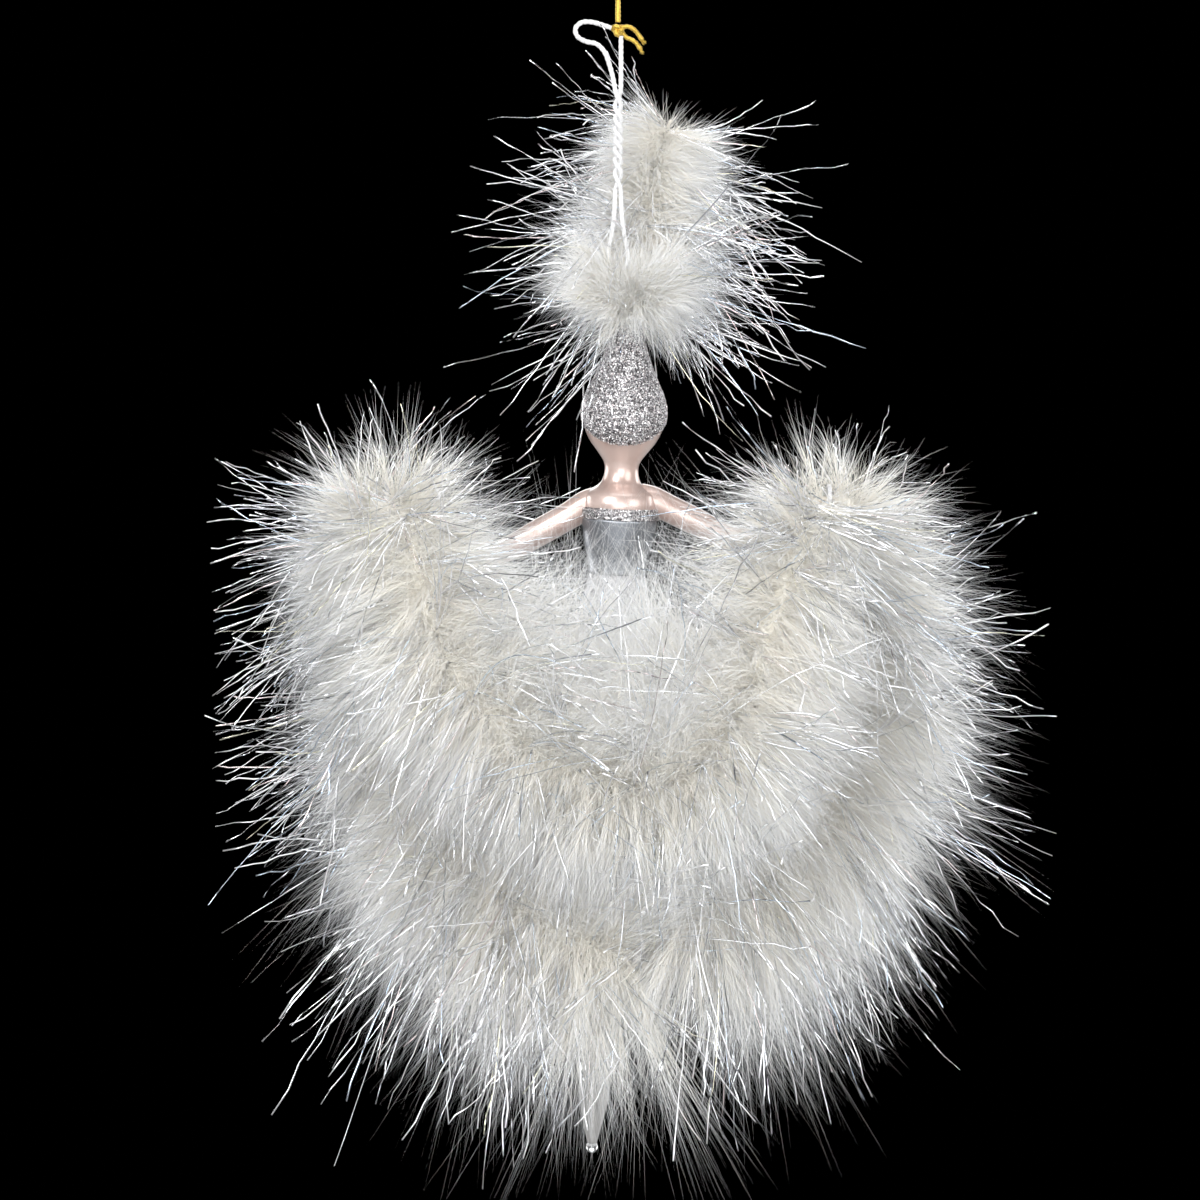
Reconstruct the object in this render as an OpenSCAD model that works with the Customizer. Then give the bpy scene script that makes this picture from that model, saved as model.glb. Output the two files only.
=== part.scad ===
// Hanging showgirl ornament with a strung down boa.
// A blown figure hangs by its cap from a thread and a gold cord, seen from behind along +Y.
// The boa is one strung length: its middle hangs as a swag behind the figure, from wrist to wrist,
// and its two tails hang from the wrists and curve in below. A down plume stands on the headdress.
// Millimetres, +Z up. The origin is the point of the hanging loop that bears on its hook.

/* [Hanging cords] */
// Diameter of the twisted gold cord
gold_d = 1.1; // [0.8:0.1:1.4]
// Diameter of the white hanging thread
thread_d = 1.0; // [0.6:0.1:1]
// Radius of the knot at the foot of the hanging loop
top_knot_r = 1.5; // [1.2:0.1:1.6]
// Radius of the knot that joins the gold cord and the thread
gold_knot_r = 1.4; // [1.2:0.1:1.5]

/* [Blown figure] */
// Thickness of the blown wall
wall = 1.6; // [1:0.1:1.8]
// Thickness of the glitter coat on the turban
glitter_coat = 0.5; // [0.3:0.1:0.6]
// Thickness of the lacquer coats on the bodice and gown
lacquer_coat = 0.3; // [0.2:0.1:0.4]
// Lean of the figure to its left, in degrees
lean = 2.5; // [1:0.1:3]
// Lean of the figure away from the boa, in degrees
pitch = 4; // [3:0.1:5]
// Diameter of the wire of the cap's loop
bail_d = 0.7; // [0.5:0.1:0.7]

/* [Boa] */
// Diameter of the strung core
core_d = 1.5; // [1.2:0.1:1.6]
// Diameter of the lurex ply laid beside the core
lurex_d = 0.7; // [0.5:0.1:0.8]
// Radius of the bore that the core and the lurex ply run in
bore_r = 1.9; // [1.8:0.1:2]
// Radius from the core's centre to the centre of a wrist tie's cord
tie_r = 2.9; // [2.8:0.1:3.2]
// Diameter of the cord that a tie is wound from
tie_d = 1.0; // [0.8:0.1:1.1]

/* [Plume] */
// Diameter of the plume's quill
quill_d = 1.0; // [0.8:0.1:1.2]

/* [Hidden] */
$fn = 48;
gap = 0.15;          // between pieces that turn on each other

top_knot_z = -12;
gold_knot_z = -46;
cap_pivot_z = -94;   // where the thread's eye carries the cap's loop
cap_base = [2.2, 0, -100];
wrist_y = -6;
wrist_z = -140;
wrist_left_x = -46;
wrist_right_x = 42;

// Routes. Each point is [x, y, z]; a boa or plume point adds the down's radius across and in depth.
loop_route = [
    [-0.7, 0, -10.4], [-2.6, 0, -8.6], [-4.3, 0, -6], [-4.8, 0, -3.2], [-3.6, 0, -0.8], [-1.6, 0, 0.4],
    [0, 0, 0.6], [1.6, 0, 0.4], [3.6, 0, -0.8], [4.8, 0, -3.2], [4.3, 0, -6], [2.6, 0, -8.6], [0.7, 0, -10.4]
];
cord_route = [for (i = [0 : 15]) [0, 0, -13.7 - 2.05 * i]];
thread_route = [
    [0.6, 0, -47.2], [0.6, 0, -53], [0.6, 0, -59], [0.6, 0, -65], [0.6, 0, -71], [0.6, 0, -77],
    [0.7, 0, -82], [1.2, 0, -86.5], [1.8, 0, -89.6], [2, 0, -92], [1.4, 0, -93.4], [0, 0, -94],
    [-1.4, 0, -93.4], [-2, 0, -92], [-1.8, 0, -89.6], [-1.2, 0, -86.5], [-0.7, 0, -82], [-0.6, 0, -77],
    [-0.6, 0, -71], [-0.6, 0, -65], [-0.6, 0, -59.5], [-0.8, 0, -56.6], [-1.7, 0, -53], [-2.7, 0, -50.4],
    [-4.3, 0, -48.8], [-6.4, 0, -48.3], [-8.1, 0, -47.3], [-8.5, 0, -45.7], [-7.3, 0, -44.5],
    [-5.4, 0, -44.4], [-3.4, 0, -44.9], [-1.3, 0, -45.6]
];
gold_tail_upper = [
    [0.8, -0.5, -45.5], [2, -0.9, -45.4], [3.2, -0.9, -46], [4.1, -0.6, -47], [4.9, -0.5, -48.2]
];
gold_tail_lower = [
    [0.9, 0.8, -46.4], [1.7, 0.9, -47.4], [2.8, 0.7, -47.9], [3.8, 0.7, -48.7], [4.6, 0.7, -50]
];
back_route = [
    [-45.7, -6, -140, 3, 3], [-43, -6.5, -141.4, 3, 3], [-41.4, -8, -145.2, 4, 3.5],
    [-40.4, -10.8, -151.5, 5, 4], [-38.6, -13, -158, 8, 6.5], [-36, -15, -166, 12, 8.5], [-32, -16.5, -174, 14, 9],
    [-26.5, -17.5, -181.5, 15, 9], [-19.5, -18.5, -187.5, 15, 9], [-12, -19, -192, 15, 9],
    [-4, -19.5, -195, 15, 9], [3.5, -19.5, -196.5, 15, 9], [10.5, -19, -195.5, 14, 9],
    [17, -18.5, -191.5, 14, 9], [22, -17.5, -185, 14, 9], [25.8, -16.5, -177, 13, 9],
    [29, -15, -168.5, 12, 8.5], [32, -13, -160, 8, 6.5], [34.6, -10.8, -152.5, 5, 4],
    [36.9, -8.2, -145.8, 4, 3.5], [39, -6.5, -141.4, 3, 3], [41.7, -6, -140, 3, 3]
];
left_route = [
    [-46.3, -6, -140, 3, 3], [-49.2, -5.5, -141.4, 3, 3], [-51.4, -3.6, -146, 4, 3.5],
    [-52.6, -0.5, -153, 8, 5], [-52.4, 2.5, -161, 13, 8], [-51, 4.5, -170, 17, 9.5],
    [-48.5, 5.5, -179.5, 20, 10], [-45, 5.5, -188.5, 20, 10], [-40.5, 4, -197.5, 19, 10],
    [-35, 1, -206, 17, 10], [-28.5, -3, -213.5, 15, 9], [-21, -7, -220, 14, 9],
    [-12.5, -10.5, -225, 13, 9], [-4.5, -13, -228.5, 10, 8], [2.5, -14.5, -230.5, 6, 5]
];
right_route = [
    [42.3, -6, -140, 3, 3], [45, -5.5, -141.4, 3, 3], [46.9, -3.6, -146, 4, 3.5],
    [48.2, -0.5, -153, 9, 5], [49.2, 2.5, -161, 15, 8], [49.6, 4.5, -170, 21, 9.5],
    [49.6, 5.5, -179.5, 25, 10], [48, 5.5, -188.5, 25, 10], [44.5, 4, -197.5, 22, 10],
    [39.5, 1, -205.5, 18, 10], [33, -3, -212, 14, 9], [26, -7, -216.5, 11, 9],
    [18.5, -10, -219.5, 8, 7], [12, -12, -220.5, 5, 5]
];
plume_route = [
    [4.6, 6.2, -102, 2.4, 2.1], [5, 7.9, -95, 7, 3.9], [5.6, 10.5, -88, 11, 6.5], [6.4, 13, -80.5, 13, 8.5],
    [7.6, 15, -73, 13.5, 9], [9.4, 16.5, -66, 12, 8.5], [12, 17, -60, 9, 6.5], [14.5, 16.5, -55, 5, 4]
];
arm_left_route = [
    [-5.5, 3, -140.6, 2.7, 2.7], [-10, 3.2, -143.2, 2.6, 2.6], [-15, 3.2, -146, 2.5, 2.5],
    [-20, 3, -148.8, 2.4, 2.4], [-24, 2.5, -150.4, 2.3, 2.3], [-29, 1, -150.2, 2.2, 2.2],
    [-34, -0.8, -148.8, 2, 2], [-39, -2.8, -147, 1.8, 1.8], [-42.6, -4.2, -145.6, 1.5, 1.5],
    [-44.8, -4.9, -144.9, 2.1, 2.1], [-46.8, -5.2, -144.6, 2.2, 2.2], [-48.6, -5.4, -144.6, 1, 1]
];
arm_right_route = [
    [6.5, 3, -140, 2.7, 2.7], [10.5, 3.2, -141.8, 2.6, 2.6], [15, 3.2, -144, 2.5, 2.5],
    [19.5, 3, -146.2, 2.4, 2.4], [23, 2.5, -147.6, 2.3, 2.3], [27, 1, -147.8, 2.2, 2.2],
    [31.5, -0.8, -147.2, 2, 2], [35.6, -2.8, -146.2, 1.8, 1.8], [38.6, -4.2, -145.3, 1.5, 1.5],
    [40.8, -4.9, -144.8, 2.1, 2.1], [42.8, -5.2, -144.6, 2.2, 2.2], [44.6, -5.4, -144.6, 1, 1]
];

// Where one run of down ends and the next begins, as points of the route
back_breaks = [3, 5, 8, 11, 13, 15, 18];
left_breaks = [3, 5, 7, 9, 11, 14];
right_breaks = [3, 5, 7, 9, 11, 13];
plume_breaks = [0, 4, 7];

// The figure's outline below its cap: [radius, height], from the open neck of the glass to the tip
neck_top = 2;
outline = [
    [2.2, neck_top], [2.3, 0], [2.5, -2.4], [3.4, -9], [5.6, -15], [7.4, -18.8], [8.2, -22.2], [7.9, -25.4],
    [6.7, -28.2], [4.9, -30.6], [3.6, -32.6], [3.4, -34.6], [4.2, -36.8], [6.6, -38.6], [7.4, -40.4],
    [7.4, -42], [7.3, -44], [6.6, -48.5], [5.8, -52], [5.5, -55], [6.2, -59], [8.4, -65], [11.2, -73],
    [12.3, -82], [11.9, -93], [10.5, -106], [8.6, -120], [6.5, -134], [4.6, -147], [3.6, -155],
    [2.7, -162], [1.7, -167], [0.9, -170]
];
turban_first = 2;
turban_last = 9;
trim_first = 15;
bodice_first = 16;
gown_first = 19;
gown_last = 29;
tip_last = 32;
outline_steps = 3;
cavity_last = 27;
glass_neck_bore_r = 1.8;
glass_neck_bore_z = -6;
turban_edge_angle = 39.6;   // the glitter's edge runs from the nape up to the brow
turban_edge_z = -23.6;
bust_r = 3.7;
bust_at = [3.3, 4.3, -46.2];
bodice_box = [40, 40, 11];  // the bodice's lacquer stops at its top edge
bodice_box_at = [-20, -20, -55];
tip_bead_r = 1.2;
tip_bead_z = -171.1;

// The cap and its wire loop. Heights are local to the figure.
bail_r = 1.2;         // inside the bail's bend runs the thread's eye
bail_leg = 3.7;
bail_lean = -atan2(cap_base[0], cap_pivot_z - cap_base[2]);
cap_r = 3.3;
cap_bore_r = 2.6;
cap_top_z = 3.1;
cap_skirt_z = -2.2;
cap_plate = 0.4;
cap_rim_r = 3.7;
cap_rim_h = 0.7;
cap_room = cap_top_z - cap_plate - cap_skirt_z;

// The core and the lurex ply run side by side in the bore
core_shift = 0.45;
lurex_shift = -0.85;
end_tie_gap = 0.6;
end_tie_h = 2;
plume_tie_r = 3.9;
plume_tie_z = -3.4;
plume_tie_d = 0.8;
gold_tail_r = 0.46;

// Points between p1 and p2 on a smooth curve through four points
function curve_point(p0, p1, p2, p3, t) =
    0.5 * (2 * p1 + (p2 - p0) * t + (2 * p0 - 5 * p1 + 4 * p2 - p3) * t * t
    + (3 * p1 - p0 - 3 * p2 + p3) * t * t * t);
function at(list, i) = list[max(0, min(len(list) - 1, i))];
function smooth_run(list, first, last, steps) = [
    for (i = [first : last - 1], s = [0 : steps - 1])
        curve_point(at(list, i - 1), at(list, i), at(list, i + 1), at(list, i + 2), s / steps),
    at(list, last)
];
function smooth(list, steps) = smooth_run(list, 0, len(list) - 1, steps);
function unit(v) = v / norm(v);
function place(p) = [p[0], p[1], p[2]];
function heading(path, i) = unit(place(at(path, i + 1)) - place(at(path, i - 1)));
function across(path, i) = unit(cross(heading(path, i), [0, 1, 0]));
function in_depth(path, i) = cross(heading(path, i), across(path, i));
// One ring of points round the path, with radius ra across and rb in depth
function ring(path, i, ra, rb, sides) = [
    for (j = [0 : sides - 1])
        let (turn = 360 * (j + 0.5) / sides)
            place(path[i]) + across(path, i) * ra * cos(turn) + in_depth(path, i) * rb * sin(turn)
];
function side_faces(rings, sides, base, out) = [
    for (i = [0 : rings - 2], j = [0 : sides - 1], half = [0, 1])
        let (
            a = base + i * sides + j,
            b = base + (i + 1) * sides + j,
            c = base + (i + 1) * sides + (j + 1) % sides,
            d = base + i * sides + (j + 1) % sides
        )
            half == 0 ? (out ? [a, b, c] : [a, c, b]) : (out ? [a, c, d] : [a, d, c])
];
function end_face(first, sides, start) = [for (j = [0 : sides - 1]) first + (start ? j : sides - 1 - j)];
function end_band(outer, inner, sides, start) = [
    for (j = [0 : sides - 1], half = [0, 1])
        let (k = (j + 1) % sides, a = outer + j, b = outer + k, c = inner + k, d = inner + j)
            half == 0 ? (start ? [a, b, c] : [a, c, b]) : (start ? [a, c, d] : [a, d, c])
];

// A solid tube along a path, of one radius
module tube(path, r, sides) {
    points = [for (i = [0 : len(path) - 1]) each ring(path, i, r, r, sides)];
    last = (len(path) - 1) * sides;
    polyhedron(points, concat(
        side_faces(len(path), sides, 0, true), [end_face(0, sides, true)], [end_face(last, sides, false)]
    ));
}

// A solid tube whose path points carry their own radii
module limb(path, sides) {
    points = [for (i = [0 : len(path) - 1]) each ring(path, i, path[i][3], path[i][4], sides)];
    last = (len(path) - 1) * sides;
    polyhedron(points, concat(
        side_faces(len(path), sides, 0, true), [end_face(0, sides, true)], [end_face(last, sides, false)]
    ));
}

// A run of down round the core, from one point of its path to another. The path's points carry its radii,
// and the core's bore goes through it. Two runs that meet share the ring where they meet.
module down_run(path, first, last_point, sides) {
    n = last_point - first + 1;
    outer = [for (i = [first : last_point]) each ring(path, i, path[i][3], path[i][4], sides)];
    inner = [for (i = [first : last_point]) each ring(path, i, bore_r, bore_r, sides)];
    total = n * sides;
    last = (n - 1) * sides;
    polyhedron(concat(outer, inner), concat(
        side_faces(n, sides, 0, true), side_faces(n, sides, total, false),
        end_band(0, total, sides, true), end_band(last, total + last, sides, false)
    ));
}

// A ring of wound cord
module wound_ring(r, d) {
    rotate_extrude() translate([r, 0]) circle(d / 2, $fn = 24);
}

module figure_place() {
    translate(cap_base) rotate([pitch, lean, 0]) children();
}

// A coat of one thickness over a stretch of the outline
module coat(first, last, thickness) {
    run = smooth_run(outline, first, last, outline_steps);
    outer = [for (p = run) [p[0] + thickness, p[1]]];
    inner = [for (i = [len(run) - 1 : -1 : 0]) run[i]];
    rotate_extrude() polygon(concat(outer, inner));
}

// The outline filled from one height to another
module filled(first, last) {
    run = smooth_run(outline, first, last, outline_steps);
    rotate_extrude() polygon(concat([[0, run[0][1]]], run, [[0, run[len(run) - 1][1]]]));
}

module hanging_loop() {
    color("gold") tube(smooth(loop_route, 2), gold_d / 2, 8);
}

module top_knot() {
    color("gold") translate([0, 0, top_knot_z]) sphere(top_knot_r - gap);
}

module gold_cord() {
    color("gold") tube(cord_route, gold_d / 2, 8);
}

module gold_knot() {
    color("gold") translate([0, 0, gold_knot_z]) sphere(gold_knot_r - gap);
}

module gold_tails() {
    color("gold") {
        tube(smooth(gold_tail_upper, 2), gold_tail_r, 8);
        tube(smooth(gold_tail_lower, 2), gold_tail_r, 8);
    }
}

module hanging_thread() {
    color("white") tube(smooth(thread_route, 2), thread_d / 2, 8);
}

module bail_place() {
    translate([0, 0, cap_pivot_z]) rotate([0, bail_lean, 0]) children();
}

module bail_legs(d) {
    for (side = [-1, 1]) translate([0, side * bail_r, -bail_leg]) cylinder(h = bail_leg, d = d, $fn = 24);
}

module cap_loop() {
    color("silver") bail_place() {
        rotate([90, 0, 90]) rotate_extrude(angle = 180) translate([bail_r, 0]) circle(bail_d / 2, $fn = 24);
        bail_legs(bail_d);
    }
}

module cap() {
    color("silver") difference() {
        figure_place() difference() {
            union() {
                translate([0, 0, cap_skirt_z]) cylinder(h = cap_top_z - cap_skirt_z, r = cap_r);
                translate([0, 0, cap_skirt_z]) cylinder(h = cap_rim_h, r = cap_rim_r);
            }
            translate([0, 0, cap_skirt_z - 1]) cylinder(h = cap_room + 1, r = cap_bore_r);
        }
        bail_place() bail_legs(bail_d + 2 * gap);
    }
}

module bust(r) {
    for (side = [-1, 1]) translate([side * bust_at[0], bust_at[1], bust_at[2]]) sphere(r);
}

module figure_glass() {
    hollow = smooth_run(outline, 3, cavity_last, outline_steps);
    cavity = [for (p = hollow) if (p[1] < glass_neck_bore_z) [p[0] - wall, p[1]]];
    top = [[0, neck_top + 1], [glass_neck_bore_r, neck_top + 1], [glass_neck_bore_r, glass_neck_bore_z]];
    foot = [[0, cavity[len(cavity) - 1][1]]];
    color("mistyrose") figure_place() difference() {
        union() {
            filled(0, gown_last);
            bust(bust_r);
        }
        rotate_extrude() polygon(concat(top, cavity, foot));
    }
}

module turban() {
    color("lightgray") figure_place() intersection() {
        coat(turban_first, turban_last, glitter_coat);
        translate([0, 0, turban_edge_z]) rotate([turban_edge_angle, 0, 0]) translate([-30, -30, 0]) cube(60);
    }
}

module neckline_trim() {
    color("lightgray") figure_place() coat(trim_first, bodice_first, 2 * lacquer_coat);
}

// The bodice lacquer also covers the bust
module bodice() {
    color("slategray") figure_place() difference() {
        union() {
            coat(bodice_first, gown_first, lacquer_coat);
            intersection() {
                bust(bust_r + lacquer_coat);
                translate(bodice_box_at) cube(bodice_box);
            }
        }
        filled(trim_first, gown_first + 1);
        bust(bust_r);
    }
}

module gown() {
    color("gainsboro") figure_place() coat(gown_first, gown_last, lacquer_coat);
}

module gown_tip() {
    color("lightgray") figure_place() filled(gown_last, tip_last);
}

module tip_bead() {
    color("white") figure_place() translate([0, 0, tip_bead_z]) sphere(tip_bead_r);
}

// The arms are fused into the shoulders, and each ends in a simple closed hand
module arm_left() {
    color("mistyrose") limb(smooth(arm_left_route, 2), 16);
}

module arm_right() {
    color("mistyrose") limb(smooth(arm_right_route, 2), 16);
}

module wrist_tie(x) {
    translate([x, wrist_y, wrist_z]) rotate([0, 90, 0]) wound_ring(tie_r, tie_d);
}

module wrist_tie_left() {
    color("silver") wrist_tie(wrist_left_x);
}

module wrist_tie_right() {
    color("silver") wrist_tie(wrist_right_x);
}

function shifted(path, shift) = [
    for (i = [0 : len(path) - 1]) place(path[i]) + in_depth(path, i) * shift
];

module core(route) {
    color("linen") tube(shifted(smooth(route, 2), core_shift), core_d / 2, 8);
}

module lurex(route) {
    color("silver") tube(shifted(smooth(route, 2), lurex_shift), lurex_d / 2, 6);
}

module core_back() {
    core(back_route);
}

module core_left() {
    core(left_route);
}

module core_right() {
    core(right_route);
}

module lurex_back() {
    lurex(back_route);
}

module lurex_left() {
    lurex(left_route);
}

module lurex_right() {
    lurex(right_route);
}

// A whipping round each end of the boa, just past the last run of down
module end_tie(route) {
    path = [for (p = route) place(p)];
    n = len(path) - 1;
    way = heading(path, n);
    tilt = acos(way[2]);
    spin = atan2(way[1], way[0]);
    translate(path[n] + way * end_tie_gap) rotate([0, tilt, spin]) cylinder(h = end_tie_h, r = bore_r);
}

module end_tie_left() {
    color("silver") end_tie(left_route);
}

module end_tie_right() {
    color("silver") end_tie(right_route);
}

module down(route, breaks, part) {
    color("white") down_run(smooth(route, 2), 2 * breaks[part - 1], 2 * breaks[part], 16);
}

module plume_tie() {
    color("silver") figure_place() translate([0, 0, plume_tie_z]) wound_ring(plume_tie_r, plume_tie_d);
}

module plume_quill() {
    color("linen") tube(shifted(smooth(plume_route, 2), core_shift), quill_d / 2, 8);
}

module plume_lurex() {
    color("silver") tube(shifted(smooth(plume_route, 2), lurex_shift), lurex_d / 2, 6);
}

module plume_lower() {
    down(plume_route, plume_breaks, 1);
}

module plume_upper() {
    down(plume_route, plume_breaks, 2);
}

hanging_loop();
top_knot();
gold_cord();
gold_knot();
gold_tails();
hanging_thread();
cap_loop();
cap();
figure_glass();
turban();
neckline_trim();
bodice();
gown();
gown_tip();
tip_bead();
arm_left();
arm_right();
wrist_tie_left();
wrist_tie_right();
core_back();
core_left();
core_right();
lurex_back();
lurex_left();
lurex_right();
end_tie_left();
end_tie_right();
for (part = [1 : 6]) {
    down(back_route, back_breaks, part);
}
for (part = [1 : 5]) {
    down(left_route, left_breaks, part);
    down(right_route, right_breaks, part);
}
plume_tie();
plume_quill();
plume_lurex();
plume_lower();
plume_upper();
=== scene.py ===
"""Looks for a hanging blown glass figure that holds out a strung down boa.

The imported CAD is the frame. Studio sets the camera, the lights and the floor. HangingGear, BlownFigure,
Plume and Boa each hold one sub-assembly's sizes and build its pieces. Sizes in the classes are in
millimetres, as in the part's source, and meshes are in metres. The figure hangs with its back to -Y.
"""

import logging
import math
from dataclasses import dataclass
from enum import Enum

import bpy
import numpy as np
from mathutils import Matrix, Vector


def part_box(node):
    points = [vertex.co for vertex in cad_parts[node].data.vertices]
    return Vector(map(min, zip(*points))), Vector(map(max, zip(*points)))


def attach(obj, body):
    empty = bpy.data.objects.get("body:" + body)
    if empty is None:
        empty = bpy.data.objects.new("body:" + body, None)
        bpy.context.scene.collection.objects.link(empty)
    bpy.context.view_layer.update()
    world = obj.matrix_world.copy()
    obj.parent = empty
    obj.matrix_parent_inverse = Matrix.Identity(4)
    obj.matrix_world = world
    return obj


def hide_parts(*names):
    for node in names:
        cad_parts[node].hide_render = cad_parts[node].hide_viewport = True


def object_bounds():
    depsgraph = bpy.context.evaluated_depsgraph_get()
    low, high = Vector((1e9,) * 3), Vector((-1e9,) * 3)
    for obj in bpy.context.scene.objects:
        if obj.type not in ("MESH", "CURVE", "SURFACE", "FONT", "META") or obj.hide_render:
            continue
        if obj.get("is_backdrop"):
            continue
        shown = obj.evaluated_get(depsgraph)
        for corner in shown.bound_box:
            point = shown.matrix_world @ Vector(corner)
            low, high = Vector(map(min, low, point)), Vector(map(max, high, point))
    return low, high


LOG = logging.getLogger("ornament")
MM = 0.001
PLY_ROUNDNESS = 0.7
FLAKE_FACES = np.array([
    [0, 1, 4], [1, 2, 4], [2, 3, 4], [3, 0, 4], [1, 0, 5], [2, 1, 5], [3, 2, 5], [0, 3, 5],
])
UP = np.array([0.0, 0.0, 1.0])
DOWN = -UP

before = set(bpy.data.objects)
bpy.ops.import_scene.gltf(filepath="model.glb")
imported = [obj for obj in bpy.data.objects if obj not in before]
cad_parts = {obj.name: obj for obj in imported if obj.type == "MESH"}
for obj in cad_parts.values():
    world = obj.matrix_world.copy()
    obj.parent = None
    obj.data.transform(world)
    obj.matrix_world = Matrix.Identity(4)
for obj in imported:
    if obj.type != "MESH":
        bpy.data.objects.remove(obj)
CAD_LOW, CAD_HIGH = (np.array(corner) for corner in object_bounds())


class Plies(Enum):
    """How many plies a cord is wound from."""

    TWO = 2
    THREE = 3


class Tint(Enum):
    """The down's tints, by finish number, in the order that down_tints gives."""

    ROOT = 0
    WARM_ROOT = 1
    BODY = 2
    BRIGHT = 3
    TIP = 4
    # The heart's tint is darker than the rest of the down: painted shade.
    COOL_TIP = 5
    PAINTED_SHADE_HEART = 6


# Geometry helpers


def unit(vectors: np.ndarray) -> np.ndarray:
    """Scales vectors to length one.

    Args:
        vectors: One vector, or many in the last axis.

    Returns:
        The same directions, each of length one.
    """
    return vectors / np.maximum(np.linalg.norm(vectors, axis=-1, keepdims=True), 1e-12)


def smooth_points(points: np.ndarray, steps: int) -> np.ndarray:
    """Runs a smooth curve through given points.

    Args:
        points: The points, one in each row; extra columns are carried along.
        steps: How many points the curve has for each stretch between two points.

    Returns:
        The points on the curve, from the first point to the last.
    """
    ends = np.vstack([points[:1], points, points[-1:]])
    t = (np.arange(steps) / steps)[:, None]
    made = []
    for p0, p1, p2, p3 in zip(ends[:-3], ends[1:-2], ends[2:-1], ends[3:]):
        made.append(
            0.5 * (2 * p1 + (p2 - p0) * t + (2 * p0 - 5 * p1 + 4 * p2 - p3) * t**2
                   + (3 * p1 - p0 - 3 * p2 + p3) * t**3)
        )
    return np.vstack([*made, points[-1:]])


def angles(count: int) -> np.ndarray:
    """Spaces angles evenly round a full turn, from 0."""
    return 2 * math.pi * np.arange(count) / count


def arc_lengths(points: np.ndarray) -> np.ndarray:
    """Measures how far along a path each of its points is.

    Args:
        points: Points of the path.

    Returns:
        The distance from the first point, for each point.
    """
    return np.concatenate([[0], np.cumsum(np.linalg.norm(np.diff(points, axis=0), axis=1))])


def even_points(points: np.ndarray, spacing: float) -> np.ndarray:
    """Spaces points evenly along a path.

    Args:
        points: Points of the path; extra columns are carried along.
        spacing: The distance between two points.

    Returns:
        The path's new points.
    """
    far = arc_lengths(points[:, :3])
    wanted = np.linspace(0, far[-1], max(3, int(round(far[-1] / spacing)) + 1))
    return np.stack([np.interp(wanted, far, column) for column in points.T], axis=1)


def headings(points: np.ndarray) -> np.ndarray:
    """Finds which way a path runs.

    Args:
        points: Points of the path.

    Returns:
        The unit direction at each point.
    """
    ends = np.vstack([points[:1], points, points[-1:]])
    return unit(ends[2:] - ends[:-2])


def carried_frames(points: np.ndarray) -> tuple[np.ndarray, np.ndarray]:
    """Carries two side directions along a path without turning them about it.

    Args:
        points: Points of the path.

    Returns:
        The two side directions at each point.
    """
    way = headings(points)
    start = np.cross(way[0], UP if abs(way[0][2]) < 0.9 else np.array([0.0, 1.0, 0.0]))
    sides = [unit(start)]
    for w in way[1:]:
        sides.append(unit(sides[-1] - w * (sides[-1] @ w)))
    first = np.array(sides)
    return first, np.cross(way, first)


class Route:
    """A strung core's line, with the side directions that its feathers are wound by."""

    SAMPLES = 500

    def __init__(self, points: list[list[float]]) -> None:
        """Lays a smooth line through the points.

        Args:
            points: The listed points in millimetres: x, y, z, radius across, radius in depth.
        """
        curve = smooth_points(np.array(points, float) * MM, 2)
        far = arc_lengths(curve[:, :3])
        self.length = far[-1]
        self.far_at_point = far[::2]
        fine = smooth_points(np.array(points, float) * MM, 16)
        fine_far = arc_lengths(fine[:, :3])
        self.share = np.linspace(0, 1, self.SAMPLES)
        self.line = np.stack([np.interp(self.share * fine_far[-1], fine_far, c) for c in fine.T], axis=1)
        self.way = headings(self.line[:, :3])
        self.side = unit(np.cross(self.way, np.array([0.0, 1.0, 0.0])))
        self.depth = np.cross(self.way, self.side)

    def share_at(self, point: int) -> float:
        """Finds how far along the route a listed point is, as a share of its length."""
        return float(self.far_at_point[point] / self.length)

    def at(self, share: np.ndarray) -> tuple[np.ndarray, np.ndarray, np.ndarray, np.ndarray]:
        """Finds places on the route.

        Args:
            share: How far along the route each place is, from 0 to 1.

        Returns:
            The places, and the directions along, across and in depth at each.
        """
        def read(table: np.ndarray) -> np.ndarray:
            """Reads a table of the route at the shares asked for."""
            return np.stack([np.interp(share, self.share, c) for c in table.T], axis=1)

        return read(self.line[:, :3]), unit(read(self.way)), unit(read(self.side)), unit(read(self.depth))

    def shifted(self, shift: float, spacing: float) -> np.ndarray:
        """Lays a line beside the route.

        Args:
            shift: How far towards -Y the line is moved, in metres.
            spacing: The distance between its points.

        Returns:
            The line's points.
        """
        return even_points(self.line[:, :3] + self.depth * shift, spacing)


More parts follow.
